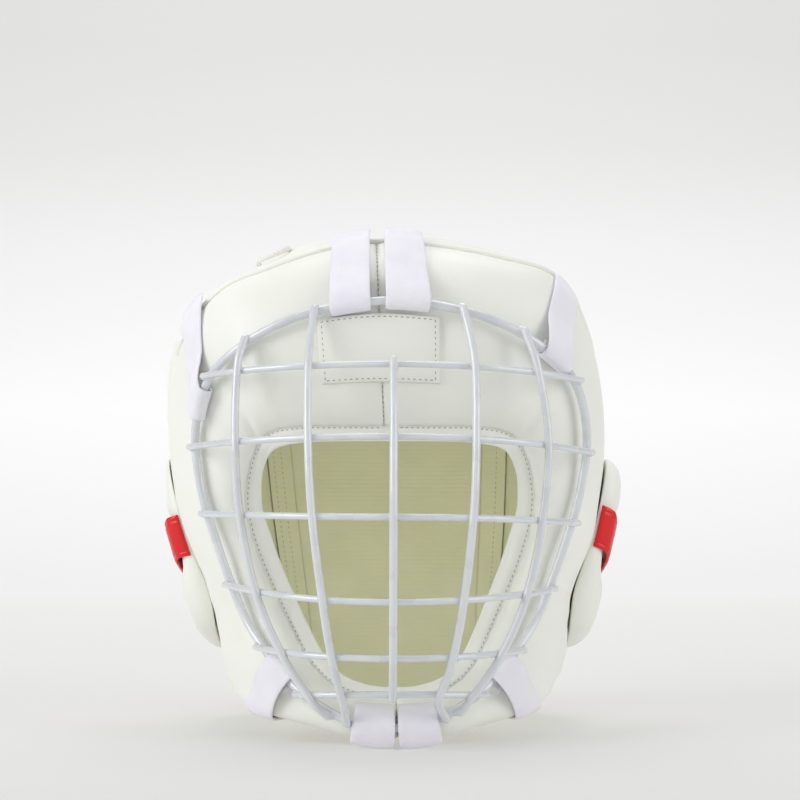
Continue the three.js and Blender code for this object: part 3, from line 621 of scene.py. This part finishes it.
LEATHER = coated_split_leather("white_coated_split_leather", "#F6F7F0", "#F2F3EB", 0.46, 0.22)
RED_LEATHER = coated_split_leather("red_patent_split_leather", "#E60A10", "#DC080E", 0.3, 0.04)
LINING = brushed_tricot_lining("khaki_brushed_tricot", "#D3D3B4", "#CDCDAD")
WIRE = dip_coated_wire("white_dip_coated_steel_wire")
TAPE_PILE = hook_and_loop_tape("white_nylon_loop_tape")
BRAID = braided_cord("white_braided_polyester_cord")
# The thread's grey is painted shade of its stitch holes; the thread itself is white
THREAD = twisted_thread("thread_grey_painted_shade", "#9C9B8F")


# Meshes

def grid_faces(rows, columns, round_rows, round_columns):
    """Four corners of each cell of a grid, which may close on itself either way."""
    index = np.arange(rows * columns).reshape(rows, columns)
    index = np.pad(index, ((0, int(round_rows)), (0, int(round_columns))), "wrap")
    corners = (index[:-1, :-1], index[1:, :-1], index[1:, 1:], index[:-1, 1:])
    return np.stack(corners, -1).reshape(-1, 4)


def patch(points, finish=0, round_rows=False, round_columns=False, uv=None):
    """A grid of points, or many like grids in one array, with the finish of its cells or columns."""
    grids = points.reshape(-1, *points.shape[-3:])
    count, rows, columns, _ = grids.shape
    cells = grid_faces(rows, columns, round_rows, round_columns)
    faces = cells[None] + (np.arange(count) * rows * columns)[:, None, None]
    finishes = np.broadcast_to(finish, (rows, columns)).reshape(-1)[cells[:, 0]]
    flat_uv = np.zeros((count * rows * columns, 2)) if uv is None else uv.reshape(-1, 2)
    return grids.reshape(-1, 3), faces.reshape(-1, 4), np.tile(finishes, count), flat_uv


def to_frame(points):
    """Points in millimetres from the head axis, moved into the shared frame in metres."""
    return (points + [0, HEAD_AXIS_Y, 0]) * 0.001


def add_object(name, data):
    """An object put into the scene."""
    made = bpy.data.objects.new(name, data)
    bpy.context.scene.collection.objects.link(made)
    return made


def new_mesh(name, points, faces, uv, materials):
    """A mesh with its map and materials."""
    mesh = bpy.data.meshes.new(name)
    mesh.from_pydata(points.tolist(), [], faces.tolist())
    layer = mesh.uv_layers.new(name="UVMap")
    layer.uv.foreach_set("vector", uv[faces.ravel()].astype(np.float32).ravel())
    for material in materials:
        mesh.materials.append(material)
    return mesh


def add_piece(name, patches, materials, node=None):
    """One mesh from patches, kept above the floor. Equal points are joined, open ends are filled and faces
    are turned outwards."""
    points, _, finishes, uv = (np.concatenate(part) for part in zip(*patches))
    starts = np.cumsum([0] + [len(part[0]) for part in patches])
    faces = np.concatenate([part[1] + start for part, start in zip(patches, starts)])
    points = to_frame(points)
    points[:, 2] = np.maximum(points[:, 2], 0)
    mesh = new_mesh(name, points, faces, uv, materials)
    mesh.polygons.foreach_set("material_index", finishes.astype(np.int32))
    work = bmesh.new()
    work.from_mesh(mesh)
    bmesh.ops.remove_doubles(work, verts=work.verts, dist=2e-6)
    bmesh.ops.dissolve_degenerate(work, edges=work.edges, dist=1e-6)
    bmesh.ops.holes_fill(work, edges=[edge for edge in work.edges if edge.is_boundary], sides=0)
    bmesh.ops.recalc_face_normals(work, faces=work.faces)
    work.to_mesh(mesh)
    work.free()
    mesh.shade_smooth()
    made = add_object(name, mesh)
    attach(made, "root")
    if node:
        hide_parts(node)
    return made


def tube(path, radius, aside, sides=16, closed=False):
    """Round profile carried along a path: each ring is a point of the path plus the radius times the
    cosine along aside and the sine across it, with aside made square to the path. Open ends are domed:
    their rings shrink as the sine while they run out as the cosine of a quarter turn."""
    if closed:
        tangent = unit(np.roll(path, -1, axis=0) - np.roll(path, 1, axis=0))
        radii = np.full(len(path), radius)
    else:
        turn = np.linspace(0, np.pi / 2, 6)[:-1, None]
        start, end = unit(path[0] - path[1]), unit(path[-1] - path[-2])
        shrink = radius * np.sin(turn[:, 0])
        radii = np.concatenate([shrink, np.full(len(path), radius), shrink[::-1]])
        head = path[0] + start * radius * np.cos(turn)
        path = np.concatenate([head, path, path[-1] + end * radius * np.cos(turn[::-1])])
        tangent = unit(np.gradient(path, axis=0))
    aside = unit(square_to(np.broadcast_to(aside, path.shape), tangent))
    across = np.cross(tangent, aside)
    angle = np.linspace(0, 2 * np.pi, sides, endpoint=False)[None, :, None]
    profile = np.cos(angle) * aside[:, None] + np.sin(angle) * across[:, None]
    points = path[:, None] + radii[:, None, None] * profile
    run = np.broadcast_to(run_length(path)[:, None] * 0.001, points.shape[:2])
    turns = np.broadcast_to(np.arange(sides) / sides, points.shape[:2])
    return patch(points, round_rows=closed, round_columns=True, uv=np.stack([run, turns], -1))


def slab(middle, thickness, edge_power=8, hem=None):
    """A flat band about a grid of middle points: both faces lie half a thickness off, times a
    superellipse across that closes the long edges, and shut at both ends. A hem is pressed in at a share
    of the half width, as a bell curve."""
    end_step, hem_depth, hem_width = 0.1, 0.5, 0.05
    near = [middle[:1], middle[:1] + end_step * (middle[1:2] - middle[:1])]
    far = [middle[-1:] + end_step * (middle[-2:-1] - middle[-1:]), middle[-1:]]
    middle = np.concatenate([*near, middle[1:-1], *far])
    run = run_length(middle, 1)
    share = 2 * run / run.max(axis=1, keepdims=True) - 1
    half = thickness / 2 * np.sqrt(np.clip(1 - np.abs(share) ** edge_power, 0, 1))
    if hem:
        half = half * (1 - hem_depth * bell(np.abs(share), hem, hem_width))
    half[[0, -1]] = 0
    off = normals_of(middle) * half[..., None]
    return [patch(middle + off), patch(middle - off)]


def read_along(rows, run, at):
    """Points or directions read at distances along their run, evenly between them."""
    return np.stack([np.interp(at, run, column) for column in rows.T], -1)


def stitches(path, out, spacing, length, width):
    """A row of sewn stitches: small capsules at equal steps of a line, each a circle that swells and
    shrinks along it as the root of 1 less the fourth power, flattened against the leather."""
    step, flat = 0.5, 0.7
    run = run_length(path)
    at = np.arange(spacing / 2, run[-1], spacing)
    centre = read_along(path, run, at)
    upright = unit(read_along(np.broadcast_to(out, path.shape), run, at))
    ahead = unit(read_along(path, run, at + step) - read_along(path, run, at - step))
    across = np.cross(upright, ahead)
    u = np.linspace(-1, 1, 5)[None, :, None, None]
    angle = np.linspace(0, 2 * np.pi, 6, endpoint=False)[None, None, :, None]
    thick = width / 2 * np.sqrt(1 - u**4)
    spread = np.cos(angle) * across[:, None, None] + flat * np.sin(angle) * upright[:, None, None]
    points = centre[:, None, None] + u * length / 2 * ahead[:, None, None] + thick * spread
    return patch(points, round_columns=True)


# Camera and stage

camera_data = bpy.data.cameras.new("camera")
camera_data.lens = 90
camera_data.sensor_width = 36
camera_data.shift_x = 0.01125
camera_data.shift_y = 0.1375
camera = add_object("camera", camera_data)
camera.location = (0, -1.0303, 0.1117)
camera.rotation_euler = (np.pi / 2, 0, 0)
bpy.context.scene.camera = camera
bpy.context.scene.view_settings.view_transform = "Standard"


def studio_sweep():
    """Pale sweep painted with light: a level floor that turns up in a quarter circle, as rows along its
    profile. Its map runs along the profile, and a painted gradient of light along it goes from grey on the
    floor to white in the bend and grey again up the wall. The sweep also glows with that painted light,
    as emission, which keeps shadows faint."""
    floor_start, floor_end, bend, wall, half_width = -2.4, 1.6, 0.9, 2.6, 3.2
    floor = np.linspace(floor_start, floor_end, 12)
    turn = np.linspace(0, np.pi / 2, 25)[1:]
    rise = np.linspace(0.1, wall, 8)
    x = np.linspace(-half_width, half_width, 5)
    y = np.concatenate([floor, floor_end + bend * np.sin(turn), 0 * rise + floor_end + bend])
    z = np.concatenate([0 * floor, bend - bend * np.cos(turn), bend + rise])
    points = np.stack(np.broadcast_arrays(x[None], y[:, None], z[:, None]), -1)
    run = run_length(points)
    points, faces, _, uv = patch(points, uv=np.stack([run / run.max(), 0 * run], -1))
    material, add, _ = new_material("pale_sweep_painted_light")
    along = add("UVMap", uv_map="UVMap")
    parts = add("SeparateXYZ", {"Vector": along})
    # Painted light: grey on the floor, white in the bend, grey again up the wall
    tone = add("ValToRGB", {"Fac": parts}, (
        (0.28, "#DDDDDB"), (0.36, "#E3E3E1"), (0.45, "#EAEAE9"), (0.53, "#F3F3F3"),
        (0.59, "#FFFFFF"), (0.634, "#F3F3F3"), (0.656, "#E8E8E7"), (0.68, "#E2E2E0"),
    ))
    # Half the painted tone is the diffuse colour, and the tone glows as emission, painted light that keeps
    # shadows faint
    half = add("MixRGB", {"Fac": 0.5, "Color1": tone, "Color2": (0, 0, 0, 1)})
    show(material, {
        "Base Color": half, "Roughness": 0.85, "Emission Color": tone, "Emission Strength": 0.52,
    })
    mesh = new_mesh("studio_sweep", points, faces[:, ::-1], uv, [material])
    mesh.shade_smooth()
    made = add_object("studio_sweep", mesh)


def soft_box(name, location, aim, size, power):
    """A square studio light at a place, turned to what it lights."""
    data = bpy.data.lights.new(name, "AREA")
    data.size = size
    data.energy = power
    lamp = add_object(name, data)
    lamp.location = location
    back = unit(np.array(location, float) - np.array(aim, float))
    side = unit(np.cross(UP, back))
    rows = np.stack([side, np.cross(back, side), back], -1)
    lamp.rotation_euler = Matrix(rows.tolist()).to_euler()


studio_sweep()
soft_box("left_soft_box", (-1.5, -0.75, 0.75), (0, 0, 0.12), 1.1, 15.5)
soft_box("right_soft_box", (1.5, -0.75, 0.65), (0, 0, 0.12), 1.1, 10)
soft_box("top_soft_box", (0, -0.1, 1.7), (0, 0, 0.1), 1.2, 7)
soft_box("front_soft_box", (-0.25, -1.9, 0.45), (0, 0, 0.1), 0.9, 2)
soft_box("backdrop_light", (0, 0.9, 2.2), (0, 2.4, 0.6), 1.6, 22)
soft_box("inner_fill", (0, -0.03, 0.105), (0, 0.12, 0.1), 0.09, 0.065)
world = bpy.data.worlds.new("studio")
world.use_nodes = True
world.node_tree.nodes["Background"].inputs["Color"].default_value = colour("#F8F9FA")
world.node_tree.nodes["Background"].inputs["Strength"].default_value = 0.3
bpy.context.scene.world = world


# Cord

def crown_cord():
    """Loop of cord over the right crown pad, as a tube. A turn takes it out and back as a raised cosine: its
    station goes by the sine of a quarter turn of that, its share by 1 less the cosine, and its two legs
    part as the hyperbolic tangent of the turn's sine. It lies on the pad's swollen surface, a little higher
    at its bend."""
    turn = np.linspace(0, 2 * np.pi, 181)
    out = 0.5 - 0.5 * np.cos(turn)
    aside = CORD["width"] * np.tanh(CORD["spread"] * np.sin(turn) * out / CORD["width"])
    quarter = np.pi / 2 * out
    station = CORD_ROOT["station"] + (CORD_BEND["station"] - CORD_ROOT["station"]) * np.sin(quarter) + aside
    share = CORD_ROOT["share"] + (CORD_BEND["share"] - CORD_ROOT["share"]) * (1 - np.cos(quarter))
    share = share - CORD["gap"] * np.cos(turn / 2)
    height = CORD["height"] + (CORD["bend_height"] - CORD["height"]) * out**6
    swollen = PAD_SWELL_OUT * swell(share) * swell(-station / NAPE_FROM)
    path = raised(rear_base(station, share), swollen + height, -1)
    piece = add_piece("braided_cord_loop", [tube(path, CORD["diameter"] / 2, UP, 12)], [BRAID], "crown_cord")


crown_cord()


# Pads

def front_pad(name, side):
    """Half of the front pad as a closed section carried round the face. From the opening: a hem with a
    rolled rim (half a circle), the stitch line, the skin pulled in at its stitches and seams and softly
    dented, puckered and folded, and the lining back to the rim."""
    station = eased(0, CHIN, 250, 0.3)[:, None]
    edge, _, outwards, stitch, _, _, _, _ = front_section(station)
    rim_radius = HEM_THICKNESS / 2
    turn = np.linspace(-np.pi / 2, np.pi / 2, 9)[None, :, None]
    rim_middle = edge + (outwards - FORWARD) * rim_radius
    rim = rim_middle + rim_radius * (FORWARD * np.sin(turn) - outwards * np.cos(turn))
    share = np.linspace(0, 1, 9)[None, 1:-1, None]
    hem_start = edge + outwards * rim_radius
    hem = hem_start + (stitch - hem_start) * share + FORWARD * HEM_BULGE * np.sin(np.pi * share)

    along = eased(0, 1, 84, 0.45)[None]
    base = front_base(station, along)
    from_hem = run_length(base, 1)
    from_seam = from_hem.max(axis=1, keepdims=True) - from_hem
    from_middle = border_distance(base, 0)
    quiet = np.clip(np.minimum(np.minimum(from_hem, from_seam), from_middle) / DENT_CLEAR, 0, 1)
    height = -SEAM_PULL["hem"] * (1 - rounded(from_hem, SEAM_PULL["reach"]))
    height -= SEAM_PULL["middle"] * (1 - rounded(from_middle, SEAM_PULL["reach"]))
    stitch_run = run_length(base[:, :1], 0)
    height += puckers(*HEM_PUCKERS, from_hem, stitch_run, dents(base, *UNEVEN_HEM, 7))
    height += puckers(*MIDDLE_PUCKERS, from_middle, from_hem)
    height += quiet * dents(base, *FRONT_DENTS, 1 + side)
    height += quiet * bell(station, *JAW_DENTS_AT) * dents(base, *JAW_DENTS, 4 + side)
    for depth, at, slant, stations, middle, alongs in FOLDS:
        fold = bell(station, at + slant * along, stations) * bell(along, middle, alongs)
        height -= depth * fold * rounded(from_hem, FOLD_CLEAR)
    seam_run = run_length(base[:, -1:], 0)
    jaw_puckers = puckers(*JAW_PUCKERS, from_seam, seam_run, dents(base, *UNEVEN_JAW, 9 + side))
    height += bell(station, *JAW_PUCKERS_AT) * jaw_puckers
    skin = base + normals_of(base) * height[..., None]
    skin = skin + inward(base) * (SEAM_DEPTH * (1 - rounded(from_seam)))[..., None]

    lining = front_lining(station, np.linspace(1, LINING_END, 26)[None])
    from_seam = run_length(lining, 1)
    lining = lining - inward(lining) * ((SEAM_THICKNESS - SEAM_DEPTH) * (1 - rounded(from_seam)))[..., None]
    loop = np.concatenate([rim, hem, skin, lining], axis=1)
    finish = np.zeros(loop.shape[:2], int)
    finish[:, -lining.shape[1]:] = 1
    made = placed(loop, side)
    section = patch(made, finish, round_columns=True)
    add_piece(f"leather_{name}", [section], [LEATHER, LINING], name)
    first = rim.shape[1] + hem.shape[1]
    return made[:, first:first + skin.shape[1]], made[:, first - 1] + FORWARD * STITCH_PROUD["hem"]


def pillow(name, base, side, fullness, seed, fold=0):
    """A rear panel between its seams: skin and lining meet below the skin's line at all four borders and
    fill out from there as a quarter circle, the skin to its swell and any fold, the lining to its own."""
    to_ends, to_sides = border_distance(base, 0), border_distance(base, 1)
    fill = rounded(to_ends) * rounded(to_sides)
    quiet = np.clip(np.minimum(to_ends, to_sides) / DENT_CLEAR, 0, 1)
    outer = PAD_SWELL_OUT * fullness + fold + quiet * dents(base, *SKIN_DENTS, seed)
    inner = -SEAM_THICKNESS - PAD_SWELL_IN * fullness + quiet * dents(base, *LINING_DENTS, seed + 1)
    skin = raised(base, -SEAM_DEPTH + (outer + SEAM_DEPTH) * fill, side)
    lining = raised(base, -SEAM_DEPTH + (inner + SEAM_DEPTH) * fill, side)
    add_piece(f"leather_{name}", [patch(skin, 0), patch(lining, 1)], [LEATHER, LINING], name)


def rear_pad(name, side, start, end, seed, fold_height=0):
    """Crown or side pad, swollen both ways between its seams. A crown pad may have a soft fold behind the
    rim: a bell curve in station and share."""
    station = eased(start, end, 84)[:, None]
    share = eased(0, 1, 84)[None]
    fullness = swell(share) * swell((station - start) / (end - start))
    fold = fold_height * bell(station, *CROWN_FOLD_AT) * bell(share, *CROWN_FOLD_SHARE)
    pillow(name, rear_base(station, share), side, fullness, seed, fold)


def back_pad():
    """Back pad from corner to corner."""
    station = eased(NAPE_FROM, JAW, 84)[:, None]
    across = eased(-1, 1, 96, 0.2)[None]
    fullness = swell((across + 1) / 2) * swell((station - NAPE_FROM) / (JAW - NAPE_FROM))
    pillow("back_pad", back_base(station, across), 1, fullness, 31)


def strap_level(along, side):
    """Station of the rear strap's middle line: lower towards the back, and lifted at its front end by a
    smooth step."""
    lift = STRAP_LIFT[side] * (1 - smooth_step(along, *STRAP_LEVELS_OUT))
    return REAR_STRAP["station"] + REAR_STRAP["drop"] * along - lift


def ear_height(side, station):
    """Thickness of an ear pad: that of its side, more below the strap and less at the top, each by a
    smooth step."""
    flare = EAR_FLARE[side] * smooth_step(station, EAR_FLARE["from"], EAR_FLARE["to"])
    thin = EAR_THIN[side] * (1 - smooth_step(station, EAR_THIN["from"], EAR_THIN["to"]))
    return EAR_HEIGHT[side] + flare - thin


def ear_pad(name, side):
    """Slab on the side pad: rings from its middle to its outline, a superellipse that is squarer below.
    Top and underside meet half way up at the outline and fill out as a quarter circle. The strap presses
    its top in."""
    radius = np.sin(np.linspace(0, np.pi / 2, 26))[:, None]
    angle = np.linspace(0, 2 * np.pi, 96, endpoint=False)[None]
    corner = np.where(np.sin(angle) > 0, EAR_CORNERS["bottom"], EAR_CORNERS["top"])
    down = np.sign(np.sin(angle)) * np.abs(np.sin(angle)) ** corner
    back = np.sign(np.cos(angle)) * np.abs(np.cos(angle)) ** corner
    station = EAR["station"] + EAR["stations"] * radius * down
    along = EAR["along"] + np.where(back < 0, EAR["front"], EAR["alongs"]) * radius * back
    base = rear_base(station, along)
    fullness = swell(along) * swell((station - NAPE_FROM) / (JAW - NAPE_FROM))
    pressed = 1 - STRAP_PRESS * bell(station, strap_level(along, side), STRAP_PRESS_REACH, 4)
    fill = rounded(1 - radius, EAR["roll"])
    thick = ear_height(side, station) * pressed
    full = thick * (1 - EAR["slope"] * radius**4) + dents(base, *EAR_DENTS, 40 + side) * fill
    seat = PAD_SWELL_OUT * fullness + EAR["gap"]
    middle = EAR["seam"] * thick
    top = raised(base, seat + middle + (full - middle) * fill, side)
    under = raised(base, seat + middle * (1 - fill), side)
    faces = [patch(top, round_columns=True), patch(under, round_columns=True)]
    add_piece(f"leather_{name}", faces, [LEATHER], name)


fronts = {}
for side_name, side in SIDES.items():
    fronts[side] = front_pad(f"front_pad_{side_name}", side)
    rear_pad(f"crown_pad_{side_name}", side, 0, NAPE_FROM, 11 + 2 * side, CROWN_FOLD[side])
    rear_pad(f"side_pad_{side_name}", side, NAPE_FROM, JAW, 21 + 2 * side)
    ear_pad(f"ear_pad_{side_name}", side)
back_pad()


# Seam piping, patch and sewing on the front

def rim_piping():
    """Leather piping along the seam between front pads and crown, a tube a little over the seam."""
    station = np.linspace(-PIPING["ends"], PIPING["ends"], 170)
    seam = front_section(station)[1]
    path = placed(seam - inward(seam) * PIPING["proud"], side_of(station))
    add_piece("rim_piping", [tube(path, PIPING["diameter"] / 2, FORWARD, 12)], [LEATHER])


def on_patch(across, up):
    """Station and along of the brow patch at shares across and up it: its ends go evenly from low to
    high."""
    first, last = (low + (high - low) * up for low, high in zip(PATCH["low_ends"], PATCH["high_ends"]))
    return first + (last - first) * across, PATCH["low"] + (PATCH["high"] - PATCH["low"]) * up + 0 * across


def brow_patch():
    """Thin leather patch over the brow seam: a slab that follows both front pads. Gives the row of
    stitches inside its border."""
    place = on_patch(eased(0, 1, 48, 0.3)[:, None], eased(0, 1, 30, 0.3)[None])
    middle = lifted(front_skin, *place, PATCH["gap"] + PATCH["thickness"] / 2)
    faces = slab(middle, PATCH["thickness"], PATCH["edge_power"])
    add_piece("leather_brow_patch", faces, [LEATHER], "brow_patch")
    inset_across, inset_up = PATCH["inset"]
    side = np.linspace(inset_across, 1 - inset_across, 60)
    edge = np.linspace(inset_up, 1 - inset_up, 30)
    across = np.concatenate([side, 0 * edge + side[-1], side[::-1], 0 * edge + side[0]])
    up = np.concatenate([0 * side + edge[0], edge, 0 * side + edge[-1], edge[::-1]])
    place = on_patch(across, up)
    path = lifted(front_skin, *place, PATCH["gap"] + PATCH["thickness"] - STITCH_SINK)
    return stitches(path, facing(front_skin, *place), *PATCH_STITCH)


def sewing():
    """All thread on the leather: the hem's stitch line, the middle seam at brow and chin, and the patch."""
    rows = [brow_patch()]
    for _, hem_line in fronts.values():
        rows.append(stitches(hem_line[2:-2], FORWARD, *HEM_STITCH))
    skin, _ = fronts[1]
    for seam in (skin[0], skin[-1]):
        rows.append(stitches(seam + FORWARD * STITCH_PROUD["seam"], FORWARD, *SEAM_STITCH))
    add_piece("seam_stitches", rows, [THREAD])


def across_corner(on_side, on_back, share):
    """Line in a back corner at a share of the way from the side pad's lining to the back pad's: straight
    across, with a sag into the corner as a parabola."""
    points = on_side + (on_back - on_side) * share
    return points - inward(points) * LINING_TAPE["sag"] * share * (1 - share)


def lining_corners():
    """Lining tape over both back corners, with rows of stitches at shares across it."""
    station = np.linspace(*LINING_TAPE["stations"], 70)[:, None]
    full = swell((station - NAPE_FROM) / (JAW - NAPE_FROM))
    along, across = LINING_TAPE["along"], LINING_TAPE["across"]
    clear = -SEAM_THICKNESS - LINING_TAPE["gap"]
    off_side = clear - PAD_SWELL_IN * swell(along) * full
    off_back = clear - PAD_SWELL_IN * swell((across + 1) / 2) * full
    rows = []
    for name, side in SIDES.items():
        ends = (raised(rear_base(station, along), off_side, side),
                raised(back_base(station, side * across), off_back, 1))
        band = across_corner(*ends, np.linspace(0, 1, 15)[None, :, None])
        add_piece(f"lining_tape_{name}", slab(band, LINING_TAPE["thickness"]), [LINING])
        for share in LINING_SEWN[side]:
            path = across_corner(*ends, share)[:, 0]
            out = inward(path)
            rows.append(stitches(path + out * STITCH_PROUD["lining"], out, *LINING_STITCH))
    add_piece("lining_stitches", rows, [THREAD])


rim_piping()
sewing()
lining_corners()


# Cage

def bulge_off(points, distance):
    """Points moved away from the middle of the cage's bulge."""
    return points + unit(points - BULGE_CENTRE) * distance


def on_cross_wire(wire, x):
    """Cross wire at a distance from the middle: the share is the square of x over its end's, height goes
    by the share and depth by a mix of the share and its square, which turns the ends in."""
    left, right, front_y, middle_z = wire
    ends = bulge_off(ring_at(np.array([-right, left])), (RING_WIRE + CROSS_WIRE) / 2 - WELD)
    end = np.where((x < 0)[..., None], ends[0], ends[1])
    share = (x / end[..., 0]) ** 2
    bow = share + (share * share - share) * BOW_ROUNDNESS
    y = front_y + (end[..., 1] - front_y) * bow
    z = middle_z + (end[..., 2] - middle_z) * share
    return np.stack([x, y, z], -1), ends


def weld_beads(centres, size):
    """Weld spots where wires cross: small spheres, a turn of half circles round each centre."""
    tilt = np.linspace(0, np.pi, 7)[:, None]
    angle = np.linspace(0, 2 * np.pi, 8, endpoint=False)[None]
    round_about = [np.sin(tilt) * np.cos(angle), np.sin(tilt) * np.sin(angle), np.cos(tilt) + 0 * angle]
    ball = np.stack(round_about, -1)
    return patch(centres[:, None, None] + size * ball[None], round_columns=True)


def face_cage():
    """Ring, six cross wires and five uprights, each a tube, with beads where they are welded."""
    station = np.linspace(MIDDLE_CLEAR, CHIN - MIDDLE_CLEAR, 200)
    left = ring_at(station)
    ring = np.concatenate([left, (left * [-1, 1, 1])[::-1]])
    parts = [tube(ring, RING_WIRE / 2, unit(ring - BULGE_CENTRE), closed=True)]
    beads = []
    for wire in CROSS_WIRES:
        _, ends = on_cross_wire(wire, np.zeros(1))
        past = WIRE_OVERSHOOT - CROSS_WIRE / 2
        path, _ = on_cross_wire(wire, np.linspace(ends[0, 0] - past, ends[1, 0] + past, 90))
        parts.append(tube(path, CROSS_WIRE / 2, UP))
        beads.append(bulge_off(ends, -BEAD["sink"]))
    over_cross = (UPRIGHT_WIRE + CROSS_WIRE) / 2 - WELD
    over_ring = (UPRIGHT_WIRE + RING_WIRE) / 2 - WELD
    for upright in UPRIGHTS:
        crossings = np.concatenate([
            on_cross_wire(wire, np.array([x], float))[0] for wire, x in zip(CROSS_WIRES, upright["across"])
        ])
        points = bulge_off(crossings, over_cross)
        beads.append(bulge_off(crossings, BEAD["over_cross"] * over_cross))
        if "ends" in upright:
            ends = ring_at(np.array(upright["ends"]))
            beads.append(bulge_off(ends, BEAD["over_ring"] * over_ring))
            tips = bulge_off(ends, over_ring)
            tips = tips + unit(points[[0, -1]] - tips) * UPRIGHT_WIRE / 2
            points = np.concatenate([tips[:1], points, tips[1:]])
        parts.append(tube(through(points, 130), UPRIGHT_WIRE / 2, SIDEWAYS))
    parts.append(weld_beads(np.concatenate(beads), BEAD["radius"]))
    add_piece("coated_wire_cage", parts, [WIRE], "face_cage")


face_cage()


# Tapes and strap

def strap_tape(station, foot, reach, start=None, width=20, foot_width=None, settle=22, under_rim=0):
    """Middle surface of a tape, columns across it. A hooked tape has a tail under the ring, half a turn
    round it and a run over the pads, whose height over them falls from the ring's as a raised cosine of
    the distance. One with a start of its own runs from there over the ring."""
    surface = over_shell if reach > 1 else front_skin
    nudge = np.array([0.05, -0.05])
    ring_step = np.linalg.norm(np.subtract(*ring_at(abs(station) + nudge))) / np.ptp(nudge)
    foot_step = station_width(surface, foot, np.minimum(reach, 1.0))
    across = 0.5 * np.sin(np.linspace(-np.pi / 2, np.pi / 2, 17))
    begin = station + across * width / ring_step
    finish = foot + across * (foot_width or width) / foot_step
    ring_along = ring_share(begin)
    under = front_skin(begin, ring_along)
    up = facing(front_skin, begin, ring_along)
    mirror = np.array([1.0 if station > 0 else -1.0, 1.0, 1.0])
    nearby = np.linspace(-0.6, 0.6, 121)[:, None]
    near_ring = ring_at(np.abs(begin) + nearby) * mirror
    gap = np.linalg.norm(near_ring - (under + up * RING_STANDOFF), axis=-1)
    centre = near_ring[gap.argmin(axis=0), np.arange(len(across))]
    turn_radius = RING_WIRE / 2 + TAPE["gap"] + TAPE["thickness"] / 2
    over_ring = ((centre - under) * up).sum(-1) + turn_radius
    pad_height = TAPE["gap"] + TAPE["thickness"] / 2

    share = np.linspace(0, 1, 41)[:, None]
    along = ring_along + (reach - ring_along) * share
    if start is not None:
        lead = start + (ring_along - start) * np.linspace(0, 1, 17)[:-1, None]
        along = np.concatenate([lead, along])
    else:
        along = along[1:]
    chin = CHIN * np.sign(station)
    first, last = (station_width(surface, station + 0 * at, at) for at in (ring_along, along))
    before_ring = chin - (chin - begin) * first / last
    past_ring = begin + (finish - begin) * (along - ring_along) / (reach - ring_along)
    at = np.where(along < ring_along, before_ring, past_ring)
    base = surface(at, along)
    distance = np.linalg.norm(base - under, axis=-1)
    settling = 0.5 + 0.5 * np.cos(np.pi * np.minimum(distance / settle, 1))
    bridge = SEAM_BRIDGE["height"] * bell(along, 1, SEAM_BRIDGE["reach"]) if reach > 1 else 0
    height = pad_height + bridge + (over_ring - pad_height) * settling
    run = lifted(surface, at, along, height)
    if under_rim:
        rim = run[-1]
        run = np.concatenate([run, rim + inward(rim) * under_rim * np.linspace(0, 1, 9)[1:, None, None]])
    if start is not None:
        return run
    wire = unit(np.subtract(*(ring_at(np.abs(begin) + step) for step in nudge)) * mirror)
    ahead = unit(square_to(square_to(run[0] - centre, wire), up))
    angle = np.linspace(-0.5 * np.pi, -1.5 * np.pi, 19)[:, None, None]
    turn = centre + turn_radius * (ahead * np.cos(angle) + up * np.sin(angle))
    tail = turn[:1] + ahead * TAPE["tail"] * np.linspace(1, 0, 6)[:-1, None, None]
    return np.concatenate([tail, turn, run])


for tape_name, tape in TAPES.items():
    for side_name, side in SIDES.items():
        on_ring, sewn, reach = tape[side_name]
        middle = strap_tape(side * on_ring, side * sewn, reach, **tape["route"])
        name = f"{tape_name}_{side_name}"
        add_piece(f"loop_tape_{name}", slab(middle, TAPE["thickness"]), [TAPE_PILE], name)


def strap_rows(surface, level, share):
    """Stations across the strap, closer at its edges by a sine, that keep its width on a surface."""
    half = 0.5 * np.sin(np.linspace(-np.pi / 2, np.pi / 2, 59))[None]
    return level + half * REAR_STRAP["width"] / station_width(surface, level, share, 0.5)


def rear_strap():
    """Red leather strap over the ear pads and round the back: rows across it at equal shares of each
    panel, raised over the panel as it leaves the seam and, by a smooth step up and down, over the ear
    pad."""
    clear = REAR_STRAP["gap"] + REAR_STRAP["thickness"] / 2
    along = np.linspace(REAR_STRAP["start"], 1, 80)[:, None]
    over_ear = smooth_step(along, *STRAP_CLIMB) * (1 - smooth_step(along, *STRAP_FALL))
    over_pad = clear + PAD_SWELL_OUT * smooth_step(along, *STRAP_LEAVES_SEAM)
    flanks = {}
    for side in SIDES.values():
        station = strap_rows(rear_base, strap_level(along, side), along)
        height = over_pad + (ear_height(side, station) * (1 - STRAP_PRESS) + EAR["gap"]) * over_ear
        flanks[side] = raised(rear_base(station, along), height, side)
    across = np.linspace(1, -1, 62)[1:-1, None]
    station = strap_rows(back_base, strap_level(np.ones_like(across), 1), across)
    back = raised(back_base(station, across), clear + PAD_SWELL_OUT, 1)
    middle = np.concatenate([flanks[1], back, flanks[-1][::-1]])
    faces = slab(middle, REAR_STRAP["thickness"], hem=REAR_STRAP["hem"])
    add_piece("red_leather_strap", faces, [RED_LEATHER], "rear_strap")


rear_strap()
